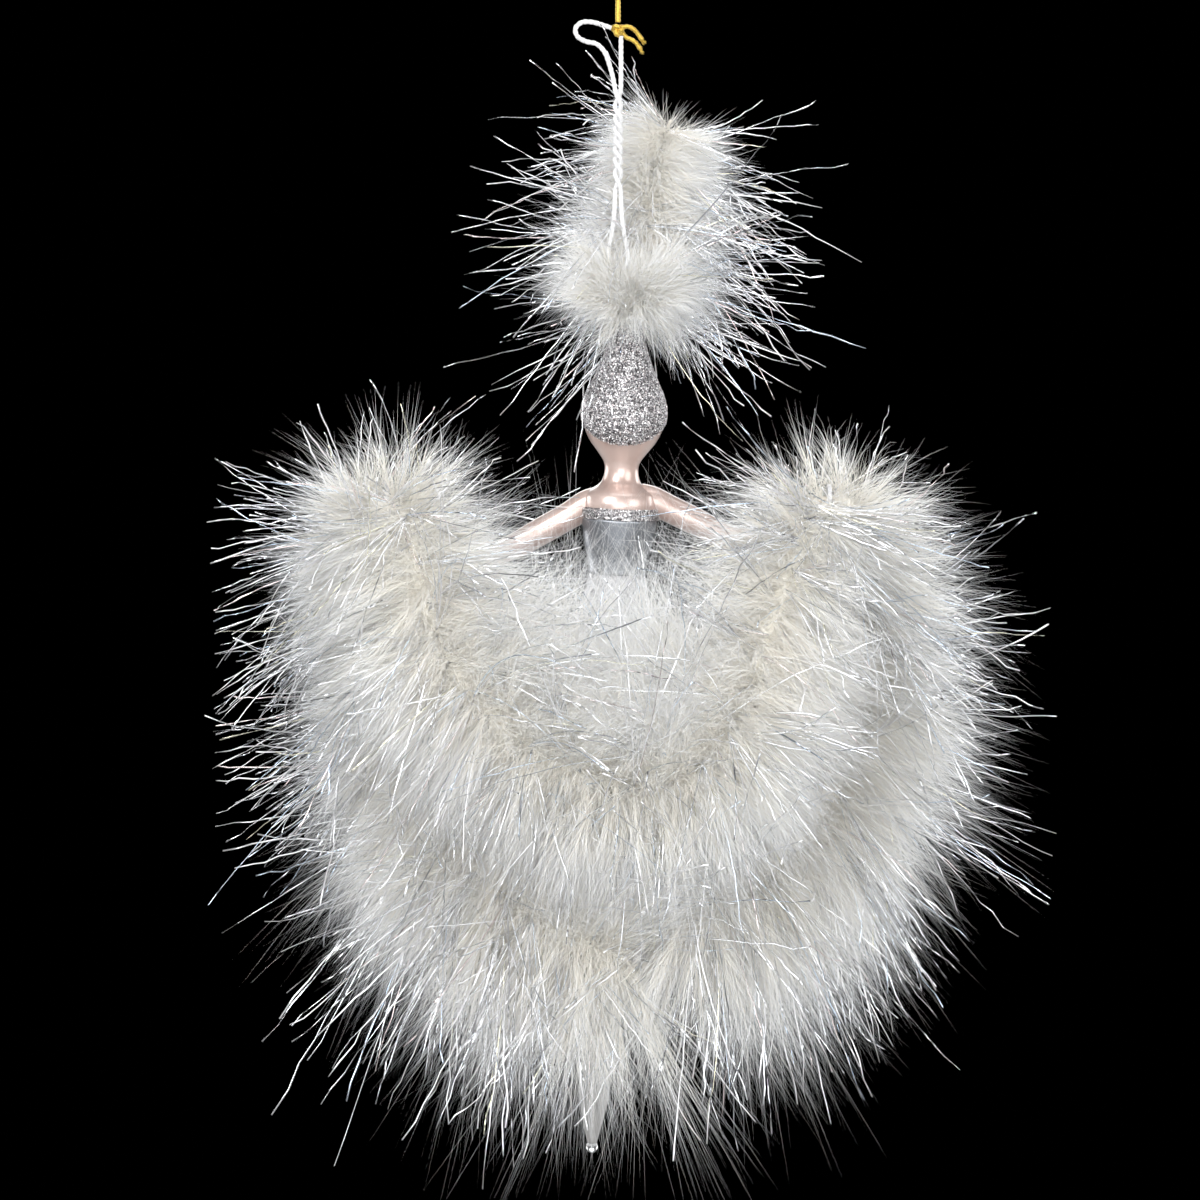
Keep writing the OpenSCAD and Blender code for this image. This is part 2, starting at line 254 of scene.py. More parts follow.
@dataclass
class Shape:
    """A mesh in the making: its points and its faces, with a finish number for each face."""

    points: np.ndarray
    faces: list[tuple[np.ndarray, np.ndarray]]

    @staticmethod
    def joined(shapes: list["Shape"]) -> "Shape":
        """Puts several shapes into one.

        Args:
            shapes: The shapes to put together.

        Returns:
            One shape that holds them all.
        """
        points, faces, base = [], [], 0
        for s in shapes:
            points.append(s.points)
            faces += [(f + base, n) for f, n in s.faces]
            base += len(s.points)
        return Shape(np.vstack(points), faces)

    def make(self, name: str, finishes: list[bpy.types.Material], soft: bool = True) -> bpy.types.Object:
        """Turns the shape into an object in the scene.

        Args:
            name: The piece's name.
            finishes: Its materials, in the order of the finish numbers.
            soft: Whether its faces are shaded smooth.

        Returns:
            The new object.
        """
        sizes = np.concatenate([np.full(len(f), f.shape[1]) for f, _ in self.faces])
        corners = np.concatenate([f.ravel() for f, _ in self.faces])
        numbers = np.concatenate([n for _, n in self.faces])
        mesh = bpy.data.meshes.new(name)
        mesh.vertices.add(len(self.points))
        mesh.vertices.foreach_set("co", self.points.astype(np.float32).ravel())
        mesh.loops.add(len(corners))
        mesh.loops.foreach_set("vertex_index", corners.astype(np.int32))
        mesh.polygons.add(len(sizes))
        mesh.polygons.foreach_set("loop_start", np.concatenate([[0], np.cumsum(sizes)[:-1]]).astype(np.int32))
        mesh.polygons.foreach_set("material_index", numbers.astype(np.int32))
        mesh.polygons.foreach_set("use_smooth", np.full(len(sizes), soft))
        for finish in finishes:
            mesh.materials.append(finish)
        mesh.update(calc_edges=True)
        mesh.validate()
        made = bpy.data.objects.new(name, mesh)
        bpy.context.scene.collection.objects.link(made)
        return made


def marked(faces: np.ndarray, number: int = 0) -> tuple[np.ndarray, np.ndarray]:
    """Gives every face of a set the same finish number."""
    return faces, np.full(len(faces), number)


def grid_faces(rings: int, sides: int) -> np.ndarray:
    """Joins rings of points with four-sided faces.

    Args:
        rings: How many rings there are.
        sides: How many points each ring has.

    Returns:
        The faces, facing out for rings that turn left about their path.
    """
    i, j = np.meshgrid(np.arange(rings - 1), np.arange(sides), indexing="ij")
    k = (j + 1) % sides
    corners = [i * sides + j, i * sides + k, (i + 1) * sides + k, (i + 1) * sides + j]
    return np.stack(corners, -1).reshape(-1, 4)


def closed_tube(rings: np.ndarray, number: int = 0) -> Shape:
    """Closes rings of points into a solid tube with a point at the middle of each end.

    Args:
        rings: The rings, indexed by ring, point and axis.
        number: The tube's finish number.

    Returns:
        The closed tube.
    """
    count, sides = rings.shape[:2]
    points = np.vstack([rings.reshape(-1, 3), rings[0].mean(0), rings[-1].mean(0)])
    j = np.arange(sides)
    k = (j + 1) % sides
    last = (count - 1) * sides
    first_fan = np.stack([np.full(sides, count * sides), k, j], -1)
    last_fan = np.stack([np.full(sides, count * sides + 1), last + j, last + k], -1)
    return Shape(points, [marked(grid_faces(count, sides), number), marked(first_fan, number),
                          marked(last_fan, number)])


@dataclass(frozen=True)
class Twist:
    """How a cord's plies are twisted: their number, the pitch in millimetres and how deep the grooves are."""

    plies: Plies
    pitch: float
    depth: float


def wound_tube(path: np.ndarray, radius: float | np.ndarray, sides: int, twist: Twist) -> Shape:
    """Lays a cord of twisted plies along a path.

    Args:
        path: The cord's centreline, in metres.
        radius: Its outer radius, in metres, all along or at each point.
        sides: How many points go round it.
        twist: How its plies are twisted.

    Returns:
        The closed cord.
    """
    one, two = carried_frames(path)
    turn = angles(sides)
    radii = np.broadcast_to(np.asarray(radius, float), (len(path),))[:, None]
    angle = turn[None, :] - 2 * math.pi * arc_lengths(path)[:, None] / (twist.pitch * MM)
    lobe = np.abs(np.cos(twist.plies.value * angle / 2)) ** PLY_ROUNDNESS
    radii = radii * (1 - twist.depth + twist.depth * lobe)
    around = one[:, None] * np.cos(turn)[None, :, None] + two[:, None] * np.sin(turn)[None, :, None]
    return closed_tube(path[:, None] + around * radii[..., None])


def turned_rings(radii: np.ndarray, heights: np.ndarray, turn: np.ndarray) -> np.ndarray:
    """Places rings of points about the Z axis.

    Args:
        radii: The radius at each ring and angle.
        heights: The height of each ring, or at each ring and angle.
        turn: The angles, clockwise from +X as seen from above.

    Returns:
        The rings, indexed by ring, point and axis.
    """
    heights = np.broadcast_to(heights, radii.shape)
    return np.stack([radii * np.cos(turn), -radii * np.sin(turn), heights], axis=-1)


def fibre_shape(lines: np.ndarray, radii: np.ndarray, numbers: np.ndarray, rng: np.random.Generator) -> Shape:
    """Makes thin closed three-sided fibres that end in a point.

    Args:
        lines: Each fibre's points, indexed by fibre, point and axis.
        radii: Each fibre's radius at every point but its last.
        numbers: The finish number of each stretch of each fibre.
        rng: The source of random turns.

    Returns:
        One shape that holds all the fibres.
    """
    count, stops = lines.shape[:2]
    rings = stops - 1
    way = unit(lines[:, 1:] - lines[:, :-1])
    any_side = unit(rng.normal(size=(count, 1, 3)))
    one = unit(np.cross(way, any_side))
    two = np.cross(way, one)
    turn = angles(3)
    around = (one[:, :, None] * np.cos(turn)[:, None] + two[:, :, None] * np.sin(turn)[:, None])
    body = lines[:, :-1, None] + around * radii[:, :, None, None]
    per = rings * 3 + 1
    points = np.concatenate([body.reshape(count, rings * 3, 3), lines[:, -1:]], axis=1).reshape(-1, 3)
    base = (np.arange(count) * per)[:, None, None]
    quads = grid_faces(rings, 3)[None] + base
    top = (rings - 1) * 3
    end = per - 1
    tip = np.array([[top, top + 1, end], [top + 1, top + 2, end], [top + 2, top, end]])[None] + base
    root = np.array([[2, 1, 0]])[None] + base
    quad_numbers = np.repeat(numbers[:, : rings - 1], 3, axis=1)
    return Shape(points, [
        (quads.reshape(-1, 4), quad_numbers.ravel()),
        (tip.reshape(-1, 3), np.repeat(numbers[:, -1], 3)),
        (root.reshape(-1, 3), numbers[:, 0]),
    ])


def ribbon_shape(lines: np.ndarray, width: np.ndarray, thickness: float, twist: np.ndarray,
                 numbers: np.ndarray, rng: np.random.Generator) -> Shape:
    """Makes thin flat closed strips that twist along their length.

    Args:
        lines: Each strip's points, indexed by strip, point and axis.
        width: Each strip's width, in metres.
        thickness: The strips' thickness, in metres.
        twist: How far each strip turns from end to end, in radians.
        numbers: Each strip's finish number.
        rng: The source of random turns.

    Returns:
        One shape that holds all the strips.
    """
    count, stops = lines.shape[:2]
    ends = np.concatenate([lines[:, :1], lines, lines[:, -1:]], axis=1)
    way = unit(ends[:, 2:] - ends[:, :-2])
    one = unit(np.cross(way, unit(rng.normal(size=(count, 1, 3)))))
    two = np.cross(way, one)
    turn = twist[:, None] * np.linspace(0, 1, stops)[None] + rng.uniform(0, 2 * math.pi, (count, 1))
    wide = one * np.cos(turn)[..., None] + two * np.sin(turn)[..., None]
    flat = np.cross(way, wide)
    half = (width / 2)[:, None, None]
    corners = [wide * half + flat * thickness / 2, -wide * half + flat * thickness / 2,
               -wide * half - flat * thickness / 2, wide * half - flat * thickness / 2]
    points = np.stack([lines + c for c in corners], axis=2).reshape(-1, 3)
    per = stops * 4
    base = (np.arange(count) * per)[:, None, None]
    quads = (grid_faces(stops, 4)[None] + base).reshape(-1, 4)
    last = per - 4
    caps = (np.array([[3, 2, 1, 0], [last, last + 1, last + 2, last + 3]])[None] + base).reshape(-1, 4)
    return Shape(points, [(quads, np.repeat(numbers, (stops - 1) * 4)), (caps, np.repeat(numbers, 2))])


def flake_shape(places: np.ndarray, normals: np.ndarray, size: np.ndarray, thickness: float, tilt: float,
                numbers: np.ndarray, rng: np.random.Generator) -> Shape:
    """Makes small flat closed flakes that lie on a surface at odd tilts.

    Args:
        places: The middle of each flake.
        normals: The surface's direction under each flake.
        size: Each flake's half width, in metres.
        thickness: Each flake's half thickness, in metres.
        tilt: How far a flake leans off the surface, about, in radians.
        numbers: Each flake's finish number.
        rng: The source of random turns.

    Returns:
        One shape that holds all the flakes.
    """
    count = len(places)
    up = unit(normals + rng.normal(scale=tilt, size=(count, 3)))
    one = unit(np.cross(up, unit(rng.normal(size=(count, 3)))))
    two = np.cross(up, one)
    long_side = size * rng.uniform(0.8, 1.3, count)
    corners = [one * size[:, None], two * long_side[:, None], -one * size[:, None], -two * long_side[:, None],
               up * thickness, -up * thickness]
    points = np.stack([places + c for c in corners], axis=1).reshape(-1, 3)
    faces = (FLAKE_FACES[None] + (np.arange(count) * 6)[:, None, None]).reshape(-1, 3)
    return Shape(points, [(faces, np.repeat(numbers, 8))])


def hang(piece: bpy.types.Object, body: str, slot: str, *nodes: str) -> None:
    """Makes a piece move with a body, in place of CAD nodes.

    Args:
        piece: The piece.
        body: The body that it rides on.
        slot: Its material slot; not used.
        *nodes: The CAD nodes that it stands for.
    """
    if nodes:
        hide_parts(*nodes)
    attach(piece, body)
    LOG.info("%s on %s: %d faces", piece.name, body, len(piece.data.polygons))


# Finishes


class Paint:
    """Builds one procedural material, node by node."""

    def __init__(self, name: str, **sockets: object) -> None:
        """Starts a material and sets its shader's own sockets.

        Args:
            name: The material's name.
            **sockets: Values for the shader's sockets, with _ for a space in the name.
        """
        self.material = bpy.data.materials.new(name)
        self.material.use_nodes = True
        self.tree = self.material.node_tree
        self.shader = self.tree.nodes["Principled BSDF"]
        for key, value in sockets.items():
            self.shader.inputs[key.replace("_", " ")].default_value = value
        self.place = self.tree.nodes.new("ShaderNodeTexCoord").outputs["Object"]

    def node(self, kind: str, inputs: dict[str, object], **settings: object) -> bpy.types.Node:
        """Adds a node.

        Args:
            kind: The node's type.
            inputs: A value or a socket for each named input.
            **settings: Values for the node's own properties.

        Returns:
            The new node.
        """
        made = self.tree.nodes.new(kind)
        for key, value in settings.items():
            setattr(made, key, value)
        for key, value in inputs.items():
            if isinstance(value, bpy.types.NodeSocket):
                self.tree.links.new(value, made.inputs[key])
            else:
                made.inputs[key].default_value = value
        return made

    def noise(self, scale: float, detail: float = 3.0, roughness: float = 0.5) -> bpy.types.NodeSocket:
        """Adds a cloud pattern and returns its value."""
        made = self.node("ShaderNodeTexNoise", {"Vector": self.place, "Scale": scale, "Detail": detail,
                                                "Roughness": roughness})
        return made.outputs["Fac"]

    def cells(self, scale: float) -> bpy.types.NodeSocket:
        """Adds a pattern of cells and returns the distance to the nearest."""
        return self.node("ShaderNodeTexVoronoi", {"Vector": self.place, "Scale": scale}).outputs["Distance"]

    def colours(self, amount: bpy.types.NodeSocket, stops: list[tuple[float, tuple]]) -> bpy.types.NodeSocket:
        """Turns a value into a colour.

        Args:
            amount: The value.
            stops: Where each colour stands, and the colour.

        Returns:
            The colour.
        """
        made = self.node("ShaderNodeValToRGB", {"Fac": amount})
        ramp = made.color_ramp
        while len(ramp.elements) < len(stops):
            ramp.elements.new(0.5)
        for element, (place, colour) in zip(ramp.elements, stops):
            element.position = place
            element.color = (*colour, 1.0)
        return made.outputs["Color"]

    def span(self, amount: bpy.types.NodeSocket, low: float, high: float) -> bpy.types.NodeSocket:
        """Stretches a value from 0 and 1 to low and high."""
        made = self.node("ShaderNodeMapRange", {"Value": amount, "To Min": low, "To Max": high})
        return made.outputs["Result"]

    def feed(self, socket: str, value: bpy.types.NodeSocket) -> None:
        """Feeds a node's output to one of the shader's sockets."""
        self.tree.links.new(value, self.shader.inputs[socket])

    def bump(self, height: bpy.types.NodeSocket, strength: float, distance: float) -> None:
        """Raises the surface by a pattern.

        Args:
            height: The pattern.
            strength: How much of the bump is used.
            distance: How high it is, in metres.
        """
        made = self.node("ShaderNodeBump", {"Height": height, "Strength": strength, "Distance": distance})
        self.feed("Normal", made.outputs["Normal"])


@dataclass(frozen=True)
class DownFinish:
    """The matte, slightly glowing finish of one tint of down fibre."""

    name: str
    colour: tuple[float, float, float]
    roughness: float = 0.7
    sheen: float = 0.5

    def material(self) -> bpy.types.Material:
        """Builds the material."""
        return Paint(self.name, Base_Color=(*self.colour, 1.0), Roughness=self.roughness, IOR=1.4,
                     Sheen_Weight=self.sheen, Sheen_Roughness=0.45).material


@dataclass(frozen=True)
class LurexFinish:
    """The mirror finish of one tint of lurex strand, or of a glitter flake."""

    name: str
    colour: tuple[float, float, float]
    roughness: float
    metallic: float = 1.0

    def material(self) -> bpy.types.Material:
        """Builds the material."""
        return Paint(self.name, Base_Color=(*self.colour, 1.0), Metallic=self.metallic,
                     Roughness=self.roughness).material


@dataclass(frozen=True)
class PearlGlass:
    """Blown glass lacquered with a pearly flesh tint."""

    name: str = "pearl_skin"
    light: tuple[float, float, float] = (0.66, 0.515, 0.465)
    deep: tuple[float, float, float] = (0.54, 0.385, 0.335)

    def material(self) -> bpy.types.Material:
        """Builds the material."""
        paint = Paint(self.name, Metallic=0.35, Coat_Weight=0.8, Coat_Roughness=0.15, IOR=1.5,
                      Sheen_Weight=0.2, Sheen_Roughness=0.3)
        clouds = paint.noise(120.0, 4.0)
        paint.feed("Base Color", paint.colours(clouds, [(0.3, self.deep), (0.6, self.light)]))
        paint.feed("Roughness", paint.span(paint.noise(900.0, 2.0), 0.24, 0.4))
        paint.bump(paint.noise(2200.0, 2.0), 0.12, 0.00008)
        return paint.material


@dataclass(frozen=True)
class GlitterBed:
    """The glue bed that glitter lies in, full of fine dull grains."""

    name: str = "glitter_bed"

    def material(self) -> bpy.types.Material:
        """Builds the material."""
        paint = Paint(self.name, Metallic=0.8, Roughness=0.5)
        grains = paint.cells(2600.0)
        paint.feed("Base Color", paint.colours(grains, [(0.15, (0.4, 0.39, 0.39)), (0.6, (0.1, 0.095, 0.1))]))
        paint.bump(grains, 0.8, 0.0002)
        return paint.material


@dataclass(frozen=True)
class SatinLacquer:
    """Metallic lacquer with faint brush clouds and a clear coat."""

    name: str
    light: tuple[float, float, float]
    deep: tuple[float, float, float]
    metallic: float
    roughness: tuple[float, float] = (0.3, 0.45)

    def material(self) -> bpy.types.Material:
        """Builds the material."""
        paint = Paint(self.name, Metallic=self.metallic, Coat_Weight=0.4, Coat_Roughness=0.15)
        clouds = paint.noise(160.0, 5.0)
        paint.feed("Base Color", paint.colours(clouds, [(0.35, self.deep), (0.65, self.light)]))
        paint.feed("Roughness", paint.span(paint.noise(700.0, 3.0), *self.roughness))
        paint.bump(paint.noise(1800.0, 3.0), 0.15, 0.0001)
        return paint.material


@dataclass(frozen=True)
class DrawnGlass:
    """Glass drawn out by hand, clear or frosted, with fine streaks."""

    name: str
    colour: tuple[float, float, float]
    transmission: float
    roughness: tuple[float, float]

    def material(self) -> bpy.types.Material:
        """Builds the material."""
        paint = Paint(self.name, Transmission_Weight=self.transmission, IOR=1.48, Coat_Weight=0.3,
                      Coat_Roughness=0.2)
        streaks = paint.noise(500.0, 4.0)
        deep = tuple(c * 0.82 for c in self.colour)
        paint.feed("Base Color", paint.colours(streaks, [(0.3, deep), (0.7, self.colour)]))
        paint.feed("Roughness", paint.span(streaks, *self.roughness))
        paint.bump(paint.noise(1500.0, 3.0), 0.3, 0.0001)
        return paint.material


@dataclass(frozen=True)
class YarnFinish:
    """Twisted cotton or metallic yarn, with fine strands that show as streaks."""

    name: str
    light: tuple[float, float, float]
    deep: tuple[float, float, float]
    metallic: float = 0.0
    roughness: float = 0.7
    sheen: float = 0.3

    def material(self) -> bpy.types.Material:
        """Builds the material."""
        paint = Paint(self.name, Metallic=self.metallic, Roughness=self.roughness, Sheen_Weight=self.sheen,
                      Sheen_Roughness=0.4)
        strands = paint.noise(6000.0, 2.0, 0.6)
        paint.feed("Base Color", paint.colours(strands, [(0.35, self.deep), (0.6, self.light)]))
        paint.bump(strands, 0.5, 0.00012)
        return paint.material


@dataclass(frozen=True)
class SheetMetal:
    """Thin pressed metal with a worn satin surface."""

    name: str
    colour: tuple[float, float, float] = (0.72, 0.72, 0.74)

    def material(self) -> bpy.types.Material:
        """Builds the material."""
        paint = Paint(self.name, Metallic=1.0)
        wear = paint.noise(700.0, 5.0)
        deep = tuple(c * 0.75 for c in self.colour)
        paint.feed("Base Color", paint.colours(wear, [(0.3, deep), (0.7, self.colour)]))
        paint.feed("Roughness", paint.span(wear, 0.22, 0.42))
        paint.bump(paint.noise(2500.0, 2.0), 0.2, 0.00006)
        return paint.material


def down_tints() -> list[bpy.types.Material]:
    """Builds the tints of the down, from the creamy root to the cool tip.

    Returns:
        Root, warm root, body, bright body, tip, cool tip and the heart, whose darker tint is painted shade.
    """
    return [finish.material() for finish in (
        DownFinish("down_root", (0.97, 0.945, 0.87)),
        DownFinish("down_warm_root", (0.965, 0.905, 0.82)),
        DownFinish("down_body", (0.96, 0.95, 0.91)),
        DownFinish("down_bright", (0.97, 0.97, 0.96)),
        DownFinish("down_tip", (0.93, 0.945, 0.965)),
        DownFinish("down_cool_tip", (0.86, 0.89, 0.94)),
        # The heart's tint is darker than the down round it: painted shade, standing in for the shade that the
        # dense down near the core holds.
        DownFinish("down_heart_painted_shade", (0.82, 0.79, 0.71)),
    )]


def lurex_tints() -> list[bpy.types.Material]:
    """Builds the tints of the lurex strands.

    Returns:
        Silver, bright silver, pewter, blue, rose and straw.
    """
    return [finish.material() for finish in (
        LurexFinish("lurex_silver", (0.93, 0.94, 0.97), 0.16),
        LurexFinish("lurex_bright", (0.98, 0.98, 1.0), 0.3, 0.85),
        LurexFinish("lurex_pewter", (0.62, 0.64, 0.68), 0.14),
        LurexFinish("lurex_blue", (0.78, 0.87, 0.99), 0.2),
        LurexFinish("lurex_rose", (0.98, 0.88, 0.88), 0.2),
        LurexFinish("lurex_straw", (0.96, 0.94, 0.78), 0.2),
    )]


# Room for the soft pieces


@dataclass(frozen=True)
class Room:
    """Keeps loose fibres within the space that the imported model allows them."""

    share: float = 0.03
    spare: float = 9.2
    give: tuple[float, float, float] = (2.0, 8.0, 5.0)

    def inside(self, lines: np.ndarray, rng: np.random.Generator) -> np.ndarray:
        """Flattens lines that would leave the room, so that each turns back at a depth of its own.

        Args:
            lines: For each line, its points from root to tip, in metres.
            rng: The source of random depths.

        Returns:
            The lines, each within the room.
        """
        reach = (CAD_HIGH - CAD_LOW) * self.share + self.spare * MM
        ease = rng.uniform(0, 1, (len(lines), 1, 1)) * np.array(self.give) * MM
        high, low = CAD_HIGH + reach - ease, CAD_LOW - reach + ease
        root = np.clip(lines[:, :1], low, high)
        away = lines - lines[:, :1]
        left = np.where(away > 0, high - root, root - low) / np.maximum(np.abs(away), 1e-9)
        return root + away * np.minimum(left.min(axis=1, keepdims=True), 1.0)


@dataclass(frozen=True)
class Panel:
    """A round soft light: its place and size in metres and its power in watts."""

    name: str
    place: tuple[float, float, float]
    size: float
    power: float

    def build(self, target: np.ndarray) -> None:
        """Hangs the panel, turned to its target."""
        light = bpy.data.lights.new(self.name, "AREA")
        light.shape = "DISK"
        light.size = self.size
        light.energy = self.power
        lamp = bpy.data.objects.new(self.name, light)
        lamp.location = self.place
        way = unit(target - np.array(self.place))
        lamp.rotation_euler = (math.acos(-way[2]), 0, math.atan2(-way[0], way[1]))
        bpy.context.scene.collection.objects.link(lamp)


@dataclass
class Studio:
    """The camera, the lights, the dark surround and the pale floor."""

    camera_at: tuple[float, float, float] = (-3.6, -1200.0, -160.0)
    focal_length: float = 180.0
    light_target: tuple[float, float, float] = (0.0, 0.0, -0.15)
    floor_z: float = -420.0
    floor_radius: float = 1100.0
    floor_sides: int = 96
    floor_light: tuple[float, float, float] = (0.41, 0.41, 0.405)
    floor_deep: tuple[float, float, float] = (0.33, 0.33, 0.325)
    surround: tuple[float, float, float] = (0.0, 0.0, 0.0)
    diffuse_bounces: int = 10

    PANELS = (
        Panel("key", (-0.9, -1.3, 0.75), 1.1, 25.0),
        Panel("fill", (1.15, -1.1, 0.2), 1.1, 13.0),
        Panel("front", (0.0, -1.7, -0.2), 1.4, 22.0),
        Panel("top", (0.1, -0.1, 1.05), 0.9, 8.0),
        Panel("rim_left", (-1.05, 0.7, 0.0), 0.8, 6.0),
        Panel("rim_right", (1.05, 0.7, 0.1), 0.8, 6.0),
        Panel("low", (0.1, -0.8, -1.1), 0.9, 4.5),
        Panel("back", (0.0, 1.3, 0.3), 0.9, 6.0),
    )
    # How far out from the floor's radius, and how high, its edge runs, from below
    FLOOR_EDGE = ((0.0, -8.0), (4.0, -8.0), (4.0, 0.0), (0.0, 0.0))

    def build(self) -> None:
        """Sets up the whole studio."""
        self.add_camera()
        for panel in self.PANELS:
            panel.build(np.array(self.light_target))
        self.add_surround()
        self.add_floor()

    def add_camera(self) -> None:
        """Places the camera level with the ornament, square to its back."""
        lens = bpy.data.cameras.new("camera")
        lens.lens = self.focal_length
        lens.clip_end = 20.0
        camera = bpy.data.objects.new("camera", lens)
        camera.location = [c * MM for c in self.camera_at]
        camera.rotation_euler = (math.radians(90), 0, 0)
        bpy.context.scene.collection.objects.link(camera)
        bpy.context.scene.camera = camera

    def add_surround(self) -> None:
        """Keeps the surround dark, so that the pale fibres stand out."""
        world = bpy.data.worlds.new("surround")
        world.use_nodes = True
        world.node_tree.nodes["Background"].inputs["Color"].default_value = (*self.surround, 1.0)
        bpy.context.scene.world = world
        bpy.context.scene.view_settings.view_transform = "Standard"
        bpy.context.scene.cycles.diffuse_bounces = self.diffuse_bounces

    def add_floor(self) -> None:
        """Lays a plain pale floor, well below the ornament."""
        turn = angles(self.floor_sides)
        round_way = np.stack([np.cos(turn), np.sin(turn), np.zeros_like(turn)], axis=-1)
        rings = np.stack([round_way * (self.floor_radius + out) + UP * (self.floor_z + height)
                          for out, height in self.FLOOR_EDGE]) * MM
        paint = Paint("floor_paint", Roughness=0.75)
        clouds = paint.noise(6.0, 3.0)
        paint.feed("Base Color", paint.colours(clouds, [(0.3, self.floor_deep), (0.7, self.floor_light)]))
        floor = closed_tube(rings).make("floor", [paint.material], soft=False)
        floor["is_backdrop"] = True


@dataclass
class HangingGear:
    """The gold cord with its loop and knots, and the white thread that carries the cap."""

    gold_d: float = 1.1
    gold_step: float = 0.25
    gold_sides: int = 28
    gold_twist: Twist = Twist(Plies.THREE, 2.6, 0.32)
    thread_d: float = 1.0
    thread_step: float = 0.3
    thread_twist: Twist = Twist(Plies.TWO, 2.2, 0.34)
    knot_r_share: float = 0.46
    knot_depth: float = 1.3
    knot_twist: Twist = Twist(Plies.THREE, 2.6, 0.3)
    tail_r: float = 0.46
    tail_step: float = 0.2
    tail_twist: Twist = Twist(Plies.THREE, 2.4, 0.3)
    fray_count: int = 14
    fray_r: float = 0.07
    thin_sides: int = 20
    top_knot_z: float = -12.0
    gold_knot_z: float = -46.0
    cord_step: float = 2.05
    cord_stops: int = 16
    cord_top: float = -13.7
    twist_top: float = -56.0
    twist_foot: float = -80.0
    twist_turns: int = 4

    LOOP = [
        [-0.7, 0, -10.4], [-2.6, 0, -8.6], [-4.3, 0, -6], [-4.8, 0, -3.2], [-3.6, 0, -0.8], [-1.6, 0, 0.4],
        [0, 0, 0.6], [1.6, 0, 0.4], [3.6, 0, -0.8], [4.8, 0, -3.2], [4.3, 0, -6], [2.6, 0, -8.6],
        [0.7, 0, -10.4],
    ]
    THREAD = [
        [0.6, 0, -47.2], [0.6, 0, -53], [0.6, 0, -59], [0.6, 0, -65], [0.6, 0, -71], [0.6, 0, -77],
        [0.7, 0, -82], [1.2, 0, -86.5], [1.8, 0, -89.6], [2, 0, -92], [1.4, 0, -93.4], [0, 0, -94],
        [-1.4, 0, -93.4], [-2, 0, -92], [-1.8, 0, -89.6], [-1.2, 0, -86.5], [-0.7, 0, -82], [-0.6, 0, -77],
        [-0.6, 0, -71], [-0.6, 0, -65], [-0.6, 0, -59.5], [-0.8, 0, -56.6], [-1.7, 0, -53], [-2.7, 0, -50.4],
        [-4.3, 0, -48.8], [-6.4, 0, -48.3], [-8.1, 0, -47.3], [-8.5, 0, -45.7], [-7.3, 0, -44.5],
        [-5.4, 0, -44.4], [-3.4, 0, -44.9], [-1.3, 0, -45.6],
    ]
    TAILS = [
        [[0.8, -0.5, -45.5], [2, -0.9, -45.4], [3.2, -0.9, -46], [4.1, -0.6, -47], [4.9, -0.5, -48.2]],
        [[0.9, 0.8, -46.4], [1.7, 0.9, -47.4], [2.8, 0.7, -47.9], [3.8, 0.7, -48.7], [4.6, 0.7, -50]],
    ]

    def build(self) -> None:
        """Builds every cord and knot of the hanging gear."""
        gold = YarnFinish("gold_yarn", (0.86, 0.62, 0.12), (0.42, 0.25, 0.03), metallic=0.85, roughness=0.35,
                          sheen=0.1).material()
        white = YarnFinish("white_thread", (0.88, 0.88, 0.88), (0.6, 0.6, 0.62)).material()
        loop = smooth_points(np.array(self.LOOP) * MM, 12)
        self.gold_strand("loop_strand", "hanging_loop", "loop", loop, gold)
        straight = np.array([[0, 0, self.cord_top - self.cord_step * i] for i in range(self.cord_stops)]) * MM
        self.gold_strand("taut_strand", "gold_cord", "cord", straight, gold)
        self.white_strand(white)
        self.knot("upper_gold_knot", "top_knot", "upper_knot", self.top_knot_z, 0.36, gold)
        self.knot("lower_gold_knot", "gold_knot", "thread", self.gold_knot_z, 0.34, gold)
        self.tails(gold)

    def gold_strand(self, name: str, node: str, body: str, path: np.ndarray,
                    gold: bpy.types.Material) -> None:
        """Builds one run of the gold cord.

        Args:
            name: The piece's name.
            node: The CAD node that it stands for.
            body: The body that it rides on.
            path: Its centreline.
            gold: Its finish.
        """
        fine = even_points(path, self.gold_step * MM)
        cord = wound_tube(fine, self.gold_d / 2 * MM, self.gold_sides, self.gold_twist).make(name, [gold])
        hang(cord, body, "gold_cord", node)

    def white_strand(self, white: bpy.types.Material) -> None:
        """Builds the white thread, whose two strands twist round each other on their way to the cap."""
        fine = even_points(smooth_points(np.array(self.THREAD) * MM, 10), self.thread_step * MM)
        fall = (self.twist_top - fine[:, 2] / MM) / (self.twist_top - self.twist_foot)
        held = np.clip(fall, 0, 1)
        turn = 2 * math.pi * self.twist_turns * held * held * (3 - 2 * held)
        fine = np.stack([fine[:, 0] * np.cos(turn), fine[:, 0] * np.sin(turn), fine[:, 2]], axis=1)
        fine = even_points(fine, self.thread_step * MM)
        thread = wound_tube(fine, self.thread_d / 2 * MM, self.thin_sides, self.thread_twist)
        thread = thread.make("white_thread", [white])
        hang(thread, "thread", "thread", "hanging_thread")

    def knot(self, name: str, node: str, body: str, z: float, scale: float, gold: bpy.types.Material) -> None:
        """Ties a small overhand knot.

        Args:
            name: The piece's name.
            node: The CAD node that it stands for.
            body: The body that it rides on.
            z: The height of its middle.
            scale: How wide it is, in millimetres for each unit of the knot's curve.
            gold: Its finish.
        """
        t = angles(160)
        deep = -np.sin(3 * t) * self.knot_depth
        path = np.stack([np.sin(t) + 2 * np.sin(2 * t), deep, np.cos(t) - 2 * np.cos(2 * t)], -1)
        path = path * scale * MM + UP * z * MM
        knot = wound_tube(path, self.gold_d * self.knot_r_share * MM, self.thin_sides, self.knot_twist)
        hang(knot.make(name, [gold]), body, "gold_cord", node)

